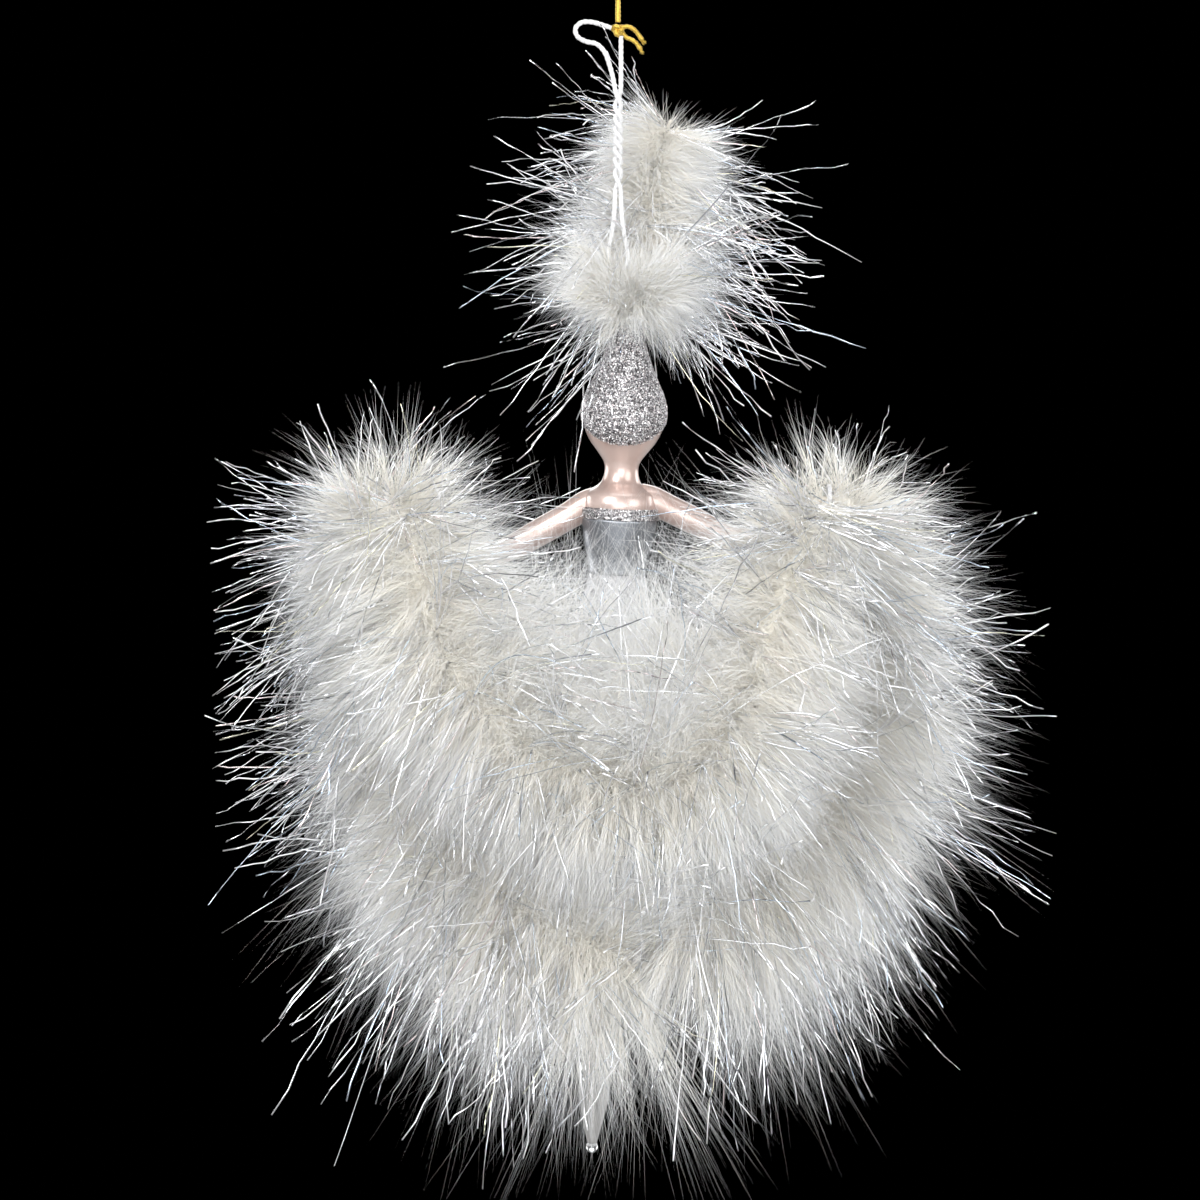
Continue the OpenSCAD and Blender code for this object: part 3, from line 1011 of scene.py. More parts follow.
    def tails(self, gold: bpy.types.Material) -> None:
        """Builds the two cut tails of the lower knot, each with a frayed end."""
        rng = np.random.default_rng(11)
        shapes = []
        for points in self.TAILS:
            fine = even_points(smooth_points(np.array(points) * MM, 12), self.tail_step * MM)
            swell = np.interp(np.linspace(0, 1, len(fine)), [0, 0.75, 0.92, 1], [1, 1, 1.15, 0.7])
            shapes.append(wound_tube(fine, self.tail_r * MM * swell, self.thin_sides, self.tail_twist))
            way = unit(fine[-1] - fine[-4])
            size = (self.fray_count, 3)
            ends = fine[-1] + rng.normal(scale=0.18 * MM, size=size)
            out = unit(way + rng.normal(scale=0.35, size=size))
            steps = np.array([-0.5, 0.1, 0.55, 0.9])[None, :, None] * MM
            shapes.append(fibre_shape(ends[:, None] + out[:, None] * steps, np.full(size, self.fray_r * MM),
                                      np.zeros(size, int), rng))
        hang(Shape.joined(shapes).make("gold_knot_tails", [gold]), "thread", "gold_cord", "gold_tails")


@dataclass(frozen=True)
class Hill:
    """One soft hill or hollow of the face, with a twin on the other side if it is off the middle."""

    rise: float
    angle: float
    z: float
    wide: float
    tall: float

    def relief(self, front: np.ndarray, z: np.ndarray) -> np.ndarray:
        """Finds what the hill adds to the radius.

        Args:
            front: The angle from straight ahead at each point, in radians.
            z: The local height at each point, in millimetres.

        Returns:
            The rise at each point, in millimetres.
        """
        up = ((z - self.z) / self.tall) ** 2
        sides = (self.angle, -self.angle) if self.angle else (0.0,)
        return sum(self.rise * np.exp(-(((front - angle) / self.wide) ** 2) - up) for angle in sides)


@dataclass
class BlownFigure:
    """The hollow glass figure: head, neck, shoulders, arms, bodice, gown and drawn tip."""

    base: tuple[float, float, float] = (2.2, 0.0, -100.0)
    pitch: float = 4.0
    lean: float = 2.5
    bust_at: tuple[float, float, float] = (3.3, 4.3, -46.2)
    bust_r: float = 3.7
    eye_angle: float = 0.36
    lid_half: float = 0.19
    lash_z: float = -23.0
    brow_z: float = -20.3
    lips_z: float = -28.0
    lips_size: tuple[float, float] = (0.24, 0.95)
    liner_half: float = 0.16
    arm_sides: int = 40
    fingers_from: float = 0.93
    finger_depth: float = 0.09
    glitter: float = 0.38
    flake_half: float = 0.155
    flake_thickness: float = 0.03
    flake_tilt: float = 0.5
    turban_flakes: int = 22000
    turban_nape_z: float = -30.8
    trim_half: float = 0.15
    trim_thickness: float = 0.5
    trim_flakes: int = 2600
    inner_gap: float = 0.25
    lacquer: float = 0.3
    turban_edge_angle: float = 39.6
    turban_edge_z: float = -23.6
    turban_top_z: float = -2.6
    trim: tuple[float, float] = (-41.6, -43.8)
    bodice_foot: float = -55.0
    gown_foot: float = -155.0
    spike: tuple[float, float] = (-154.6, -170.2)
    spike_ridge: float = 0.05
    spike_sides: int = 48
    tip_r: float = 1.2
    tip_z: float = -171.1
    bead_sides: int = 40
    cap_sides: int = 160
    flute_count: int = 20
    flute_depth: float = 0.13
    sides: int = 144

    OUTLINE = [
        [2.2, 2.0], [2.3, 0], [2.5, -2.4], [3.4, -9], [5.6, -15], [7.4, -18.8], [8.2, -22.2], [7.9, -25.4],
        [6.7, -28.2], [4.9, -30.6], [3.6, -32.6], [3.4, -34.6], [4.2, -36.8], [6.6, -38.6], [7.4, -40.4],
        [7.4, -42], [7.3, -44], [6.6, -48.5], [5.8, -52], [5.5, -55], [6.2, -59], [8.4, -65], [11.2, -73],
        [12.3, -82], [11.9, -93], [10.5, -106], [8.6, -120], [6.5, -134], [4.6, -147], [3.6, -155],
        [2.7, -162], [1.7, -167], [0.9, -170],
    ]
    ARM_LEFT = [
        [-3.4, 3, -140.2, 3.0, 3.0], [-6.2, 3, -140.9, 2.95, 2.95], [-10, 3.2, -143.2, 2.75, 2.7],
        [-15, 3.2, -146, 2.75, 2.7], [-20, 3, -148.8, 2.6, 2.5], [-24, 2.5, -150.4, 2.35, 2.3],
        [-29, 1, -150.2, 2.2, 2.2], [-34, -0.8, -148.8, 2, 2], [-39, -2.8, -147, 1.7, 1.7],
        [-42.6, -4.2, -145.6, 1.4, 1.3], [-44.8, -4.9, -144.9, 2.1, 1.6], [-46.8, -5.2, -144.6, 2.1, 1.7],
        [-48.2, -5.4, -144.6, 1.2, 1.1],
    ]
    ARM_RIGHT = [
        [4.4, 3, -139.6, 3.0, 3.0], [7.0, 3, -140.2, 2.95, 2.95], [10.5, 3.2, -141.8, 2.75, 2.7],
        [15, 3.2, -144, 2.75, 2.7], [19.5, 3, -146.2, 2.6, 2.5], [23, 2.5, -147.6, 2.35, 2.3],
        [27, 1, -147.8, 2.2, 2.2], [31.5, -0.8, -147.2, 2, 2], [35.6, -2.8, -146.2, 1.7, 1.7],
        [38.6, -4.2, -145.3, 1.4, 1.3], [40.8, -4.9, -144.8, 2.1, 1.6], [42.8, -5.2, -144.6, 2.1, 1.7],
        [44.2, -5.4, -144.6, 1.2, 1.1],
    ]

    # Top, foot and step of each stretch of the glass's rings, finest at the head and the bust
    RING_STRETCHES = ((2.0, -12, -0.7), (-12, -57, -0.22), (-57, -155.1, -1.0))
    CAP = [
        [0.5, 3.1], [2.6, 3.12], [3.0, 3.0], [3.25, 2.7], [3.3, 2.2], [3.3, -1.3], [3.45, -1.6], [3.7, -1.8],
        [3.75, -2.1], [3.6, -2.25], [3.3, -2.2], [3.1, -1.8], [3.05, 2.2], [2.8, 2.6], [0.5, 2.75],
    ]
    FACE = {
        "nose tip": Hill(1.25, 0, -25.4, 0.13, 1.3),
        "nose bridge": Hill(0.7, 0, -23.6, 0.1, 1.6),
        "nostril": Hill(0.3, 0.14, -25.9, 0.08, 0.7),
        "eye socket": Hill(-0.55, 0.36, -22.6, 0.2, 1.2),
        "eye": Hill(0.42, 0.36, -22.6, 0.12, 0.6),
        "brow": Hill(0.25, 0.36, -20.8, 0.24, 0.6),
        "cheek": Hill(0.35, 0.62, -25.2, 0.26, 1.7),
        "upper lip": Hill(0.42, 0, -27.6, 0.2, 0.35),
        "lower lip": Hill(0.48, 0, -28.4, 0.17, 0.38),
        "chin": Hill(0.9, 0, -30.0, 0.34, 1.0),
    }

    def __post_init__(self) -> None:
        """Works out the smooth outline and where the figure stands."""
        curve = smooth_points(np.array(self.OUTLINE, float), 10)
        self.curve_r, self.curve_z = curve[:, 0], curve[:, 1]
        x, y = math.radians(self.pitch), math.radians(self.lean)
        turn_x = np.array([[1, 0, 0], [0, math.cos(x), -math.sin(x)], [0, math.sin(x), math.cos(x)]])
        turn_y = np.array([[math.cos(y), 0, math.sin(y)], [0, 1, 0], [-math.sin(y), 0, math.cos(y)]])
        self.turn = turn_y @ turn_x
        self.skin = PearlGlass().material()

    def radius(self, z: np.ndarray) -> np.ndarray:
        """Reads the outline's radius at local heights, in millimetres."""
        return np.interp(-np.asarray(z, float), -self.curve_z, self.curve_r)

    def placed(self, points: np.ndarray) -> np.ndarray:
        """Moves local points, in millimetres, to where the figure hangs, in metres."""
        return (points @ self.turn.T + np.array(self.base)) * MM

    def local(self, points: np.ndarray) -> np.ndarray:
        """Moves points in metres to the figure's own frame, in millimetres."""
        return (points / MM - np.array(self.base)) @ self.turn

    def clear_of(self, points: np.ndarray, gap: float = 0.5) -> np.ndarray:
        """Presses points that would be inside the glass out to its surface.

        Args:
            points: Points in metres.
            gap: How far off the glass they stop, in millimetres.

        Returns:
            The points, each outside the glass.
        """
        own = self.local(points)
        far = np.hypot(own[..., 0], own[..., 1])
        need = np.where((own[..., 2] < 3) & (own[..., 2] > self.tip_z - 1), self.radius(own[..., 2]) + gap, 0)
        grow = np.where(far < need, need / np.maximum(far, 1e-3), 1.0)
        own = own * np.stack([grow, grow, np.ones_like(grow)], axis=-1)
        return self.placed(own)

    def build(self) -> None:
        """Builds every piece of the figure."""
        self.body()
        self.arm("arm_left", self.ARM_LEFT)
        self.arm("arm_right", self.ARM_RIGHT)
        flakes = [LurexFinish(f"glitter_{name}", colour, rough).material() for name, colour, rough in (
            ("bright", (0.93, 0.92, 0.93), 0.3), ("mid", (0.66, 0.64, 0.65), 0.35),
            ("dark", (0.30, 0.29, 0.31), 0.35), ("rose", (0.85, 0.76, 0.76), 0.3),
        )]
        bed = GlitterBed().material()
        self.turban([bed, *flakes])
        self.neckline([bed, *flakes])
        self.bodice()
        self.gown()
        self.drawn_tip()
        self.cap()

    def face_relief(self, front: np.ndarray, z: np.ndarray) -> np.ndarray:
        """Models a calm, simple face in low relief.

        Args:
            front: The angle from straight ahead at each point, in radians.
            z: The local height at each point, in millimetres.

        Returns:
            What the face adds to the radius, in millimetres.
        """
        return sum(hill.relief(front, z) for hill in self.FACE.values())

    def over_bust(self, radii: np.ndarray, z: np.ndarray, turn: np.ndarray, coat: float) -> np.ndarray:
        """Widens rings where the bust stands out of the outline.

        Args:
            radii: The radius at each ring and angle, in millimetres.
            z: The height of each ring.
            turn: The angles.
            coat: How thick a coat lies on the bust.

        Returns:
            The widened radii.
        """
        for side in (-1, 1):
            x, y, height = side * self.bust_at[0], self.bust_at[1], self.bust_at[2]
            along = np.cos(turn) * x - np.sin(turn) * y
            room = along**2 - (x * x + y * y) + (self.bust_r + coat) ** 2 - (z - height) ** 2
            radii = np.maximum(radii, np.where(room > 0, along + np.sqrt(np.maximum(room, 0)), 0))
        return radii

    def makeup(self, middle: np.ndarray) -> np.ndarray:
        """Chooses which faces of the glass are painted as lips, lashes and brows.

        Args:
            middle: The middle of each face, in local millimetres.

        Returns:
            Each face's finish number.
        """
        ahead = np.arctan2(middle[:, 0], middle[:, 1])
        high = middle[:, 2]
        before = middle[:, 1] > 0
        wide, tall = self.lips_size
        lips = (ahead / wide) ** 2 + ((high - self.lips_z) / tall) ** 2 < 1
        liner = np.zeros(len(middle), bool)
        for side in (-1, 1):
            off = (ahead - side * self.eye_angle) / self.lid_half
            liner |= (np.abs(off) < 1) & (np.abs(high - self.lash_z - 0.35 * off**2) < self.liner_half)
            liner |= (np.abs(off) < 1.15) & (np.abs(high - self.brow_z + 0.4 * off**2) < self.liner_half)
        return np.where(liner & before, 2, np.where(lips & before, 1, 0))

    def body(self) -> None:
        """Builds the glass from its open neck to the foot of the gown."""
        z = np.concatenate([np.arange(*stretch) for stretch in self.RING_STRETCHES])
        turn = angles(self.sides)
        plain = np.broadcast_to(self.radius(z)[:, None], (len(z), self.sides))
        grown = self.over_bust(plain, z[:, None], turn, 0.0)
        front = np.angle(np.exp(1j * (turn + math.pi / 2)))[None]
        rings = turned_rings(grown + self.face_relief(front, z[:, None]), z[:, None], turn)
        shape = closed_tube(rings)
        faces, _ = shape.faces[0]
        shape.faces[0] = (faces, self.makeup(rings.reshape(-1, 3)[faces].mean(1)))
        rose = SatinLacquer("lip_paint", (0.62, 0.2, 0.2), (0.5, 0.14, 0.15), 0.1).material()
        brown = SatinLacquer("brow_paint", (0.16, 0.1, 0.07), (0.1, 0.06, 0.04), 0.0).material()
        shape.points = self.placed(shape.points)
        glass = shape.make("glass_body", [self.skin, rose, brown])
        hang(glass, "figure", "skin_glass", "figure_glass")

    def arm(self, name: str, points: list[list[float]]) -> None:
        """Builds a slim arm with a simple closed hand.

        Args:
            name: The CAD node that the arm stands for.
            points: The arm's listed points and radii, in millimetres.
        """
        fine = even_points(smooth_points(np.array(points, float), 10), 0.45)
        path, across, deep = fine[:, :3], fine[:, 3], fine[:, 4]
        way = headings(path)
        side = unit(np.cross(way, np.array([0.0, 1.0, 0.0])))
        depth = np.cross(way, side)
        turn = angles(self.arm_sides)
        share = np.linspace(0, 1, len(fine))[:, None]
        hand = np.clip((share - self.fingers_from) / 0.05, 0, 1)
        fingers = hand * self.finger_depth * np.cos(6 * turn)[None]
        rings = (path[:, None] + side[:, None] * ((across[:, None] * (1 + fingers)) * np.cos(turn))[..., None]
                 + depth[:, None] * ((deep[:, None] * (1 + fingers)) * np.sin(turn))[..., None])
        shape = closed_tube(rings * MM)
        hang(shape.make(name + "_glass", [self.skin]), "figure", "skin_glass", name)

    def coat(self, top: float, foot: float, thickness: float, step: float, lumps: float = 0.0) -> np.ndarray:
        """Makes rings for a thin coat on the outline.

        Args:
            top: The coat's upper height, in millimetres.
            foot: Its lower height.
            thickness: How far it stands off the glass.
            step: The distance between rings.
            lumps: How uneven it is.

        Returns:
            The rings, in local millimetres, from top to foot and back up inside the glass.
        """
        z = np.linspace(top, foot, max(4, int(abs(top - foot) / step)))
        turn = angles(self.sides)
        edge = np.clip(np.minimum(z[0] - z, z - z[-1]) / (1.2 * thickness), 0, 1) ** 0.5
        wave = lumps * np.sin(7 * turn)[None] * np.sin(z * 1.7)[:, None]
        outer = self.radius(z)[:, None] + thickness * edge[:, None] + wave * edge[:, None] + 0.02
        inner = np.broadcast_to(self.radius(z)[:, None] - self.inner_gap, outer.shape)[::-1]
        heights = np.concatenate([z, z[::-1]])
        return turned_rings(np.vstack([outer, inner]), heights[:, None], turn)

    def sleeve(self, rings: np.ndarray) -> Shape:
        """Closes rings that run down and back up into a solid sleeve.

        Args:
            rings: The rings, in local millimetres.

        Returns:
            The sleeve where the figure hangs.
        """
        count, sides = rings.shape[:2]
        faces = grid_faces(count, sides)
        j = np.arange(sides)
        last = (count - 1) * sides
        close = np.stack([last + j, last + (j + 1) % sides, (j + 1) % sides, j], -1)
        return Shape(self.placed(rings.reshape(-1, 3)), [marked(np.vstack([faces, close]))])

    def scattered(self, count: int, top: float, foot: float, lift: float,
                  rng: np.random.Generator) -> tuple[np.ndarray, np.ndarray]:
        """Scatters places evenly over a stretch of the outline.

        Args:
            count: How many places there are.
            top: The stretch's upper height, in millimetres.
            foot: Its lower height.
            lift: How far off the glass the places are.
            rng: The source of random places.

        Returns:
            The places and the surface's directions, in local millimetres.
        """
        z = rng.uniform(foot, top, count * 3)
        z = z[rng.uniform(0, 9.0, len(z)) < self.radius(z)][:count]
        turn = rng.uniform(0, 2 * math.pi, len(z))
        slope = (self.radius(z + 0.2) - self.radius(z - 0.2)) / 0.4
        radii = self.radius(z) + lift
        places = np.stack([radii * np.cos(turn), radii * np.sin(turn), z], axis=-1)
        normals = unit(np.stack([np.cos(turn), np.sin(turn), -slope], axis=-1))
        return places, normals

    def edge_height(self, y: np.ndarray) -> np.ndarray:
        """Finds the height of the turban's edge at depth y, in local millimetres."""
        return self.turban_edge_z + y * math.tan(math.radians(self.turban_edge_angle))

    def turban(self, finishes: list[bpy.types.Material]) -> None:
        """Builds the glittered turban, which runs from the brow down to the nape.

        Args:
            finishes: The glue bed and the flakes' tints.
        """
        turn = angles(self.sides)
        foot = np.full(self.sides, self.turban_edge_z)
        for _ in range(12):
            foot = 0.5 * foot + 0.5 * self.edge_height(-self.radius(foot) * np.sin(turn))
        share = np.linspace(0, 1, 90)[:, None]
        z = self.turban_top_z + (foot[None] - self.turban_top_z) * share
        rise = np.clip(np.minimum(share, 1 - share) * 40, 0, 1) ** 0.5
        rng = np.random.default_rng(21)
        grain = rng.uniform(-0.06, 0.06, z.shape)
        outer = self.radius(z) + self.glitter * rise + grain * rise
        inner = (self.radius(z) - self.inner_gap)[::-1]
        bed = self.sleeve(turned_rings(np.vstack([outer, inner]), np.vstack([z, z[::-1]]), turn))
        places, normals = self.scattered(self.turban_flakes, self.turban_top_z, self.turban_nape_z,
                                         self.glitter + 0.06, rng)
        above = places[:, 2] > self.edge_height(places[:, 1]) + 0.15
        flakes = self.flakes(places[above], normals[above], self.flake_half, rng)
        turban = Shape.joined([bed, flakes]).make("glitter_turban", finishes, soft=False)
        hang(turban, "figure", "silver_glitter", "turban")

    def flakes(self, places: np.ndarray, normals: np.ndarray, size: float, rng: np.random.Generator) -> Shape:
        """Lays glitter flakes of mixed tints at local places.

        Args:
            places: Where the flakes lie, in local millimetres.
            normals: The surface's directions.
            size: Their half width, in millimetres.
            rng: The source of random turns.

        Returns:
            The flakes, where the figure hangs.
        """
        numbers = rng.choice([1, 2, 3, 4], size=len(places), p=[0.4, 0.34, 0.16, 0.1])
        sizes = size * MM * rng.uniform(0.75, 1.25, len(places))
        return flake_shape(self.placed(places), normals @ self.turn.T, sizes, self.flake_thickness * MM,
                           self.flake_tilt, numbers, rng)

    def neckline(self, finishes: list[bpy.types.Material]) -> None:
        """Builds the glitter band along the bodice's top edge.

        Args:
            finishes: The glue bed and the flakes' tints.
        """
        rng = np.random.default_rng(22)
        top, foot = self.trim
        band = self.sleeve(self.coat(top, foot, self.trim_thickness, 0.2, 0.05))
        places, normals = self.scattered(self.trim_flakes, top, foot, self.trim_thickness + 0.05, rng)
        flakes = self.flakes(places, normals, self.trim_half, rng)
        trim = Shape.joined([band, flakes]).make("neckline_glitter", finishes, soft=False)
        hang(trim, "figure", "silver_glitter", "neckline_trim")

    def bodice(self) -> None:
        """Builds the satin bodice, which also covers the bust."""
        rings = self.coat(self.trim[1] + 0.1, self.bodice_foot, self.lacquer, 0.3)
        turn = angles(self.sides)
        half = len(rings) // 2
        z = rings[:half, :1, 2]
        radii = np.hypot(rings[:half, :, 0], rings[:half, :, 1])
        rings[:half] = turned_rings(self.over_bust(radii, z, turn, self.lacquer), z, turn)
        satin = SatinLacquer("bodice_satin", (0.33, 0.35, 0.38), (0.25, 0.265, 0.29), 0.75, (0.3, 0.42))
        bodice = self.sleeve(rings).make("satin_bodice", [satin.material()])
        hang(bodice, "figure", "bodice_lacquer", "bodice")

    def gown(self) -> None:
        """Builds the pearly gown lacquer below the waist."""
        rings = self.coat(self.bodice_foot, self.gown_foot, self.lacquer, 0.8)
        pearl = SatinLacquer("gown_pearl", (0.5, 0.5, 0.52), (0.4, 0.4, 0.42), 0.3, (0.42, 0.55)).material()
        hang(self.sleeve(rings).make("pearl_gown", [pearl]), "figure", "gown_lacquer", "gown")

    def drawn_tip(self) -> None:
        """Builds the frosted spike and the clear bead that ends it."""
        z = np.linspace(*self.spike, 60)[:, None]
        turn = angles(self.spike_sides)
        ridge = self.spike_ridge * np.sin(3 * turn + z * 0.5)
        rings = turned_rings(self.radius(z) + 0.05 + ridge, z, turn)
        frosted = DrawnGlass("frosted_glass", (0.5, 0.495, 0.485), 0.45, (0.35, 0.5)).material()
        spike = closed_tube(self.placed(rings)).make("frosted_tip", [frosted])
        hang(spike, "figure", "frosted_glass", "gown_tip")
        angle = np.linspace(0.12, math.pi - 0.05, 26)[:, None]
        turn = angles(self.bead_sides)
        radii = self.tip_r * np.sin(angle) * (1 + 0.18 * np.cos(angle)) * np.ones_like(turn)
        rings = turned_rings(radii, self.tip_z + self.tip_r * np.cos(angle), turn)
        clear = DrawnGlass("clear_glass", (0.93, 0.94, 0.95), 0.9, (0.02, 0.08)).material()
        bead = closed_tube(self.placed(rings)).make("clear_bead", [clear])
        hang(bead, "figure", "clear_glass", "tip_bead")

    def cap(self) -> None:
        """Builds the fluted cap and gives the wire loop its finish."""
        turn = angles(self.cap_sides)
        fine = smooth_points(np.array(self.CAP), 4)
        radii, heights = fine[:, :1], fine[:, 1:]
        skirt = np.clip((1.8 - heights) / 2.0, 0, 1) * np.clip((radii - 2.9) * 4, 0, 1)
        flutes = self.flute_depth * np.cos(self.flute_count * turn)[None] * skirt
        shape = self.sleeve(turned_rings(radii + flutes, heights, turn))
        hang(shape.make("fluted_cap", [SheetMetal("cap_metal").material()]), "figure", "cap_metal", "cap")
        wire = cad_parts["cap_loop"]
        wire.data.materials.clear()
        wire.data.materials.append(SheetMetal("loop_wire", (0.62, 0.62, 0.64)).material())


@dataclass(frozen=True)
class PileRun:
    """How one run of down is wound: its node, body, place on the route, and fibre counts."""

    node: str
    body: str
    start: float
    end: float
    tufts: int = 345
    fuzz: int = 4900


@dataclass(frozen=True)
class Sprays:
    """How the lurex of one stretch stands out of its down: node, body, counts and reach past the down."""

    node: str
    body: str
    sprays: int
    each: int
    extra: tuple[float, float]
    seed: int
    end: float = 1.0
    pull: tuple[float, float, float] = (0.0, 0.0, 0.0)


@dataclass
class Pile:
    """Winds down and lurex round a strung core.

    The three reaches say how far fibres stand out, in millimetres, at even steps along the route: away from
    the middle of the boa, towards it, and in depth. Shares run from 0 to 1.
    """

    route: Route
    reach_outer: tuple[float, ...]
    reach_inner: tuple[float, ...]
    reach_deep: tuple[float, ...]
    figure: BlownFigure
    room: Room
    centre: tuple[float, float, float]
    fall: float = 0.35
    barbs: int = 26
    spread: float = 0.17
    fibre_r: float = 0.043
    front_share: float = 0.2
    heart_r: float = 2.6
    fluff_r: float = 7.0
    start_fan: float = 0.9
    end_fan: float = 0.9
    fan_share: float = 0.08
    lock_start: float = 0.55
    lock_curl: float = 0.2
    fibre_curl: float = 0.08
    droop: tuple[float, float] = (0.05, 0.28)
    bold_share: float = 0.08
    bold_grow: float = 1.5
    fluff_length: tuple[float, float] = (3.0, 8.0)
    heart_r_from: float = 2.5
    heart_step: float = 0.9
    heart_sides: int = 36
    lean: float = 0.34
    spray_lean: float = 0.45
    raised_share: float = 0.65
    strand_width: tuple[float, float] = (0.16, 0.32)
    strand_thickness: float = 0.04
    strand_stops: int = 17

    # Where the points of a fibre stand along it, and its thickness at all but the last
    FIBRE_STOPS = (0.0, 0.33, 0.68, 1.0)
    FIBRE_TAPER = (1.0, 0.85, 0.45)
    FLUFF_STOPS = (0.0, 0.5, 1.0)
    FLUFF_TAPER = (1.0, 0.7)
    # How often each of the lurex's tints is strung in
    STRAND_SHARES = (0.44, 0.32, 0.1, 0.08, 0.03, 0.03)

    def inward(self, out: np.ndarray, at: np.ndarray) -> np.ndarray:
        """Finds how far directions point to the middle of the boa.

        Args:
            out: The directions.
            at: Where they start.

        Returns:
            For each direction, from 0 outside to 1 inside.
        """
        facing = (out * unit(np.array(self.centre) * MM - at)).sum(1)
        rise = np.clip((facing + 0.25) / 0.85, 0, 1)
        return rise * rise * (3 - 2 * rise)

    def reach(self, share: np.ndarray, phi: np.ndarray, inward: np.ndarray) -> np.ndarray:
        """Finds how far fibres reach from the core.

        Args:
            share: Where on the route each tuft is.
            phi: The direction round the core, from across to depth.
            inward: How far each tuft points to the middle of the boa.

        Returns:
            The reach of each tuft, in metres.
        """
        def read(table: tuple[float, ...]) -> np.ndarray:
            """Reads one of the tables of reach at the tufts' shares."""
            return np.interp(share, np.linspace(0, 1, len(table)), table)

        wide = read(self.reach_outer) * (1 - inward) + read(self.reach_inner) * inward
        return MM / np.sqrt((np.cos(phi) / wide) ** 2 + (np.sin(phi) / read(self.reach_deep)) ** 2)

    def fan(self, share: np.ndarray) -> np.ndarray:
        """Finds how far tufts fan out past the two ends of the route, backwards at its start."""
        near_start = np.clip(1 - share / self.fan_share, 0, 1) * self.start_fan
        near_end = np.clip(1 - (1 - share) / self.fan_share, 0, 1) * self.end_fan
        return near_end - near_start

    def roots(self, count: int, start: float, end: float, rng: np.random.Generator,
              lean: float) -> tuple[np.ndarray, np.ndarray, np.ndarray]:
        """Picks where tufts are tied in and which way they point.

        Args:
            count: How many tufts.
            start: The share of the route where the run starts.
            end: The share where it ends.
            rng: The source of random places.
            lean: How much tufts lean along the core.

        Returns:
            Each tuft's root, direction and reach.
        """
        share = np.sort(rng.uniform(start, end, count))
        at, way, side, depth = self.route.at(share)
        fan = self.fan(share)[:, None] * rng.uniform(0.2, 1.3, (count, 1))
        phi = rng.uniform(0, 2 * math.pi, count)
        flip = (rng.uniform(size=count) > self.front_share) & (np.sin(phi) > 0.35)
        phi = np.where(flip, rng.choice([0.0, math.pi], count) + rng.normal(scale=0.3, size=count), phi)
        at = at + depth * np.where(flip, rng.uniform(1.5, 6.0, count), 0.0)[:, None] * MM
        out = side * np.cos(phi)[:, None] + depth * np.sin(phi)[:, None]
        inward = self.inward(out, at)
        reach = self.reach(share, phi, inward)
        fall = self.fall * (1 - 0.8 * inward)
        aim = unit(out + way * (fan + rng.normal(scale=lean, size=(count, 1))) + DOWN * fall[:, None])
        return at, aim, reach

    def fibres(self, at: np.ndarray, aim: np.ndarray, reach: np.ndarray, rng: np.random.Generator) -> Shape:
        """Grows a lock of long fibres from each root.

        Args:
            at: The roots.
            aim: Their directions.
            reach: How far each lock reaches.
            rng: The source of random curls.

        Returns:
            The fibres of every lock.
        """
        count, each = len(at), self.barbs
        start = rng.uniform(0, 1, (count, each, 1)) ** 1.6 * self.lock_start
        away = rng.normal(size=(count, each, 3)) * self.spread
        heading = unit(aim[:, None] + away)
        share = 0.3 + 0.85 * rng.uniform(0, 1, (count, each, 1)) ** 0.7
        long = reach[:, None, None] * share * (1 - 0.6 * start)
        curl = (rng.normal(scale=self.lock_curl, size=(count, 1, 3))
                + rng.normal(scale=self.fibre_curl, size=(count, each, 3)))
        droop = DOWN * rng.uniform(*self.droop, (count, 1, 1))
        root = at[:, None] + aim[:, None] * reach[:, None, None] * start
        t = np.array(self.FIBRE_STOPS)
        lines = (root[:, :, None] + heading[:, :, None] * (long * t)[..., None]
                 + (curl + droop)[:, :, None] * (long * t**2)[..., None])
        lines = self.room.inside(self.figure.clear_of(lines.reshape(-1, len(t), 3)), rng)
        total = count * each
        bold = np.where(rng.uniform(size=(total, 1)) < self.bold_share, self.bold_grow, 1.0)
        bold = bold * rng.uniform(0.75, 1.15, (total, 1))
        radii = np.array([self.FIBRE_TAPER]) * bold * self.fibre_r * MM
        tone = rng.uniform(size=(total, 1))
        end = np.where(tone < 0.8, Tint.COOL_TIP.value, Tint.BRIGHT.value)
        numbers = np.concatenate([
            np.where(tone < 0.18, Tint.WARM_ROOT.value, Tint.ROOT.value),
            np.where(tone < 0.5, Tint.BODY.value, Tint.BRIGHT.value),
            np.where(tone < 0.55, Tint.TIP.value, end),
        ], axis=1)
        return fibre_shape(lines, radii, numbers, rng)

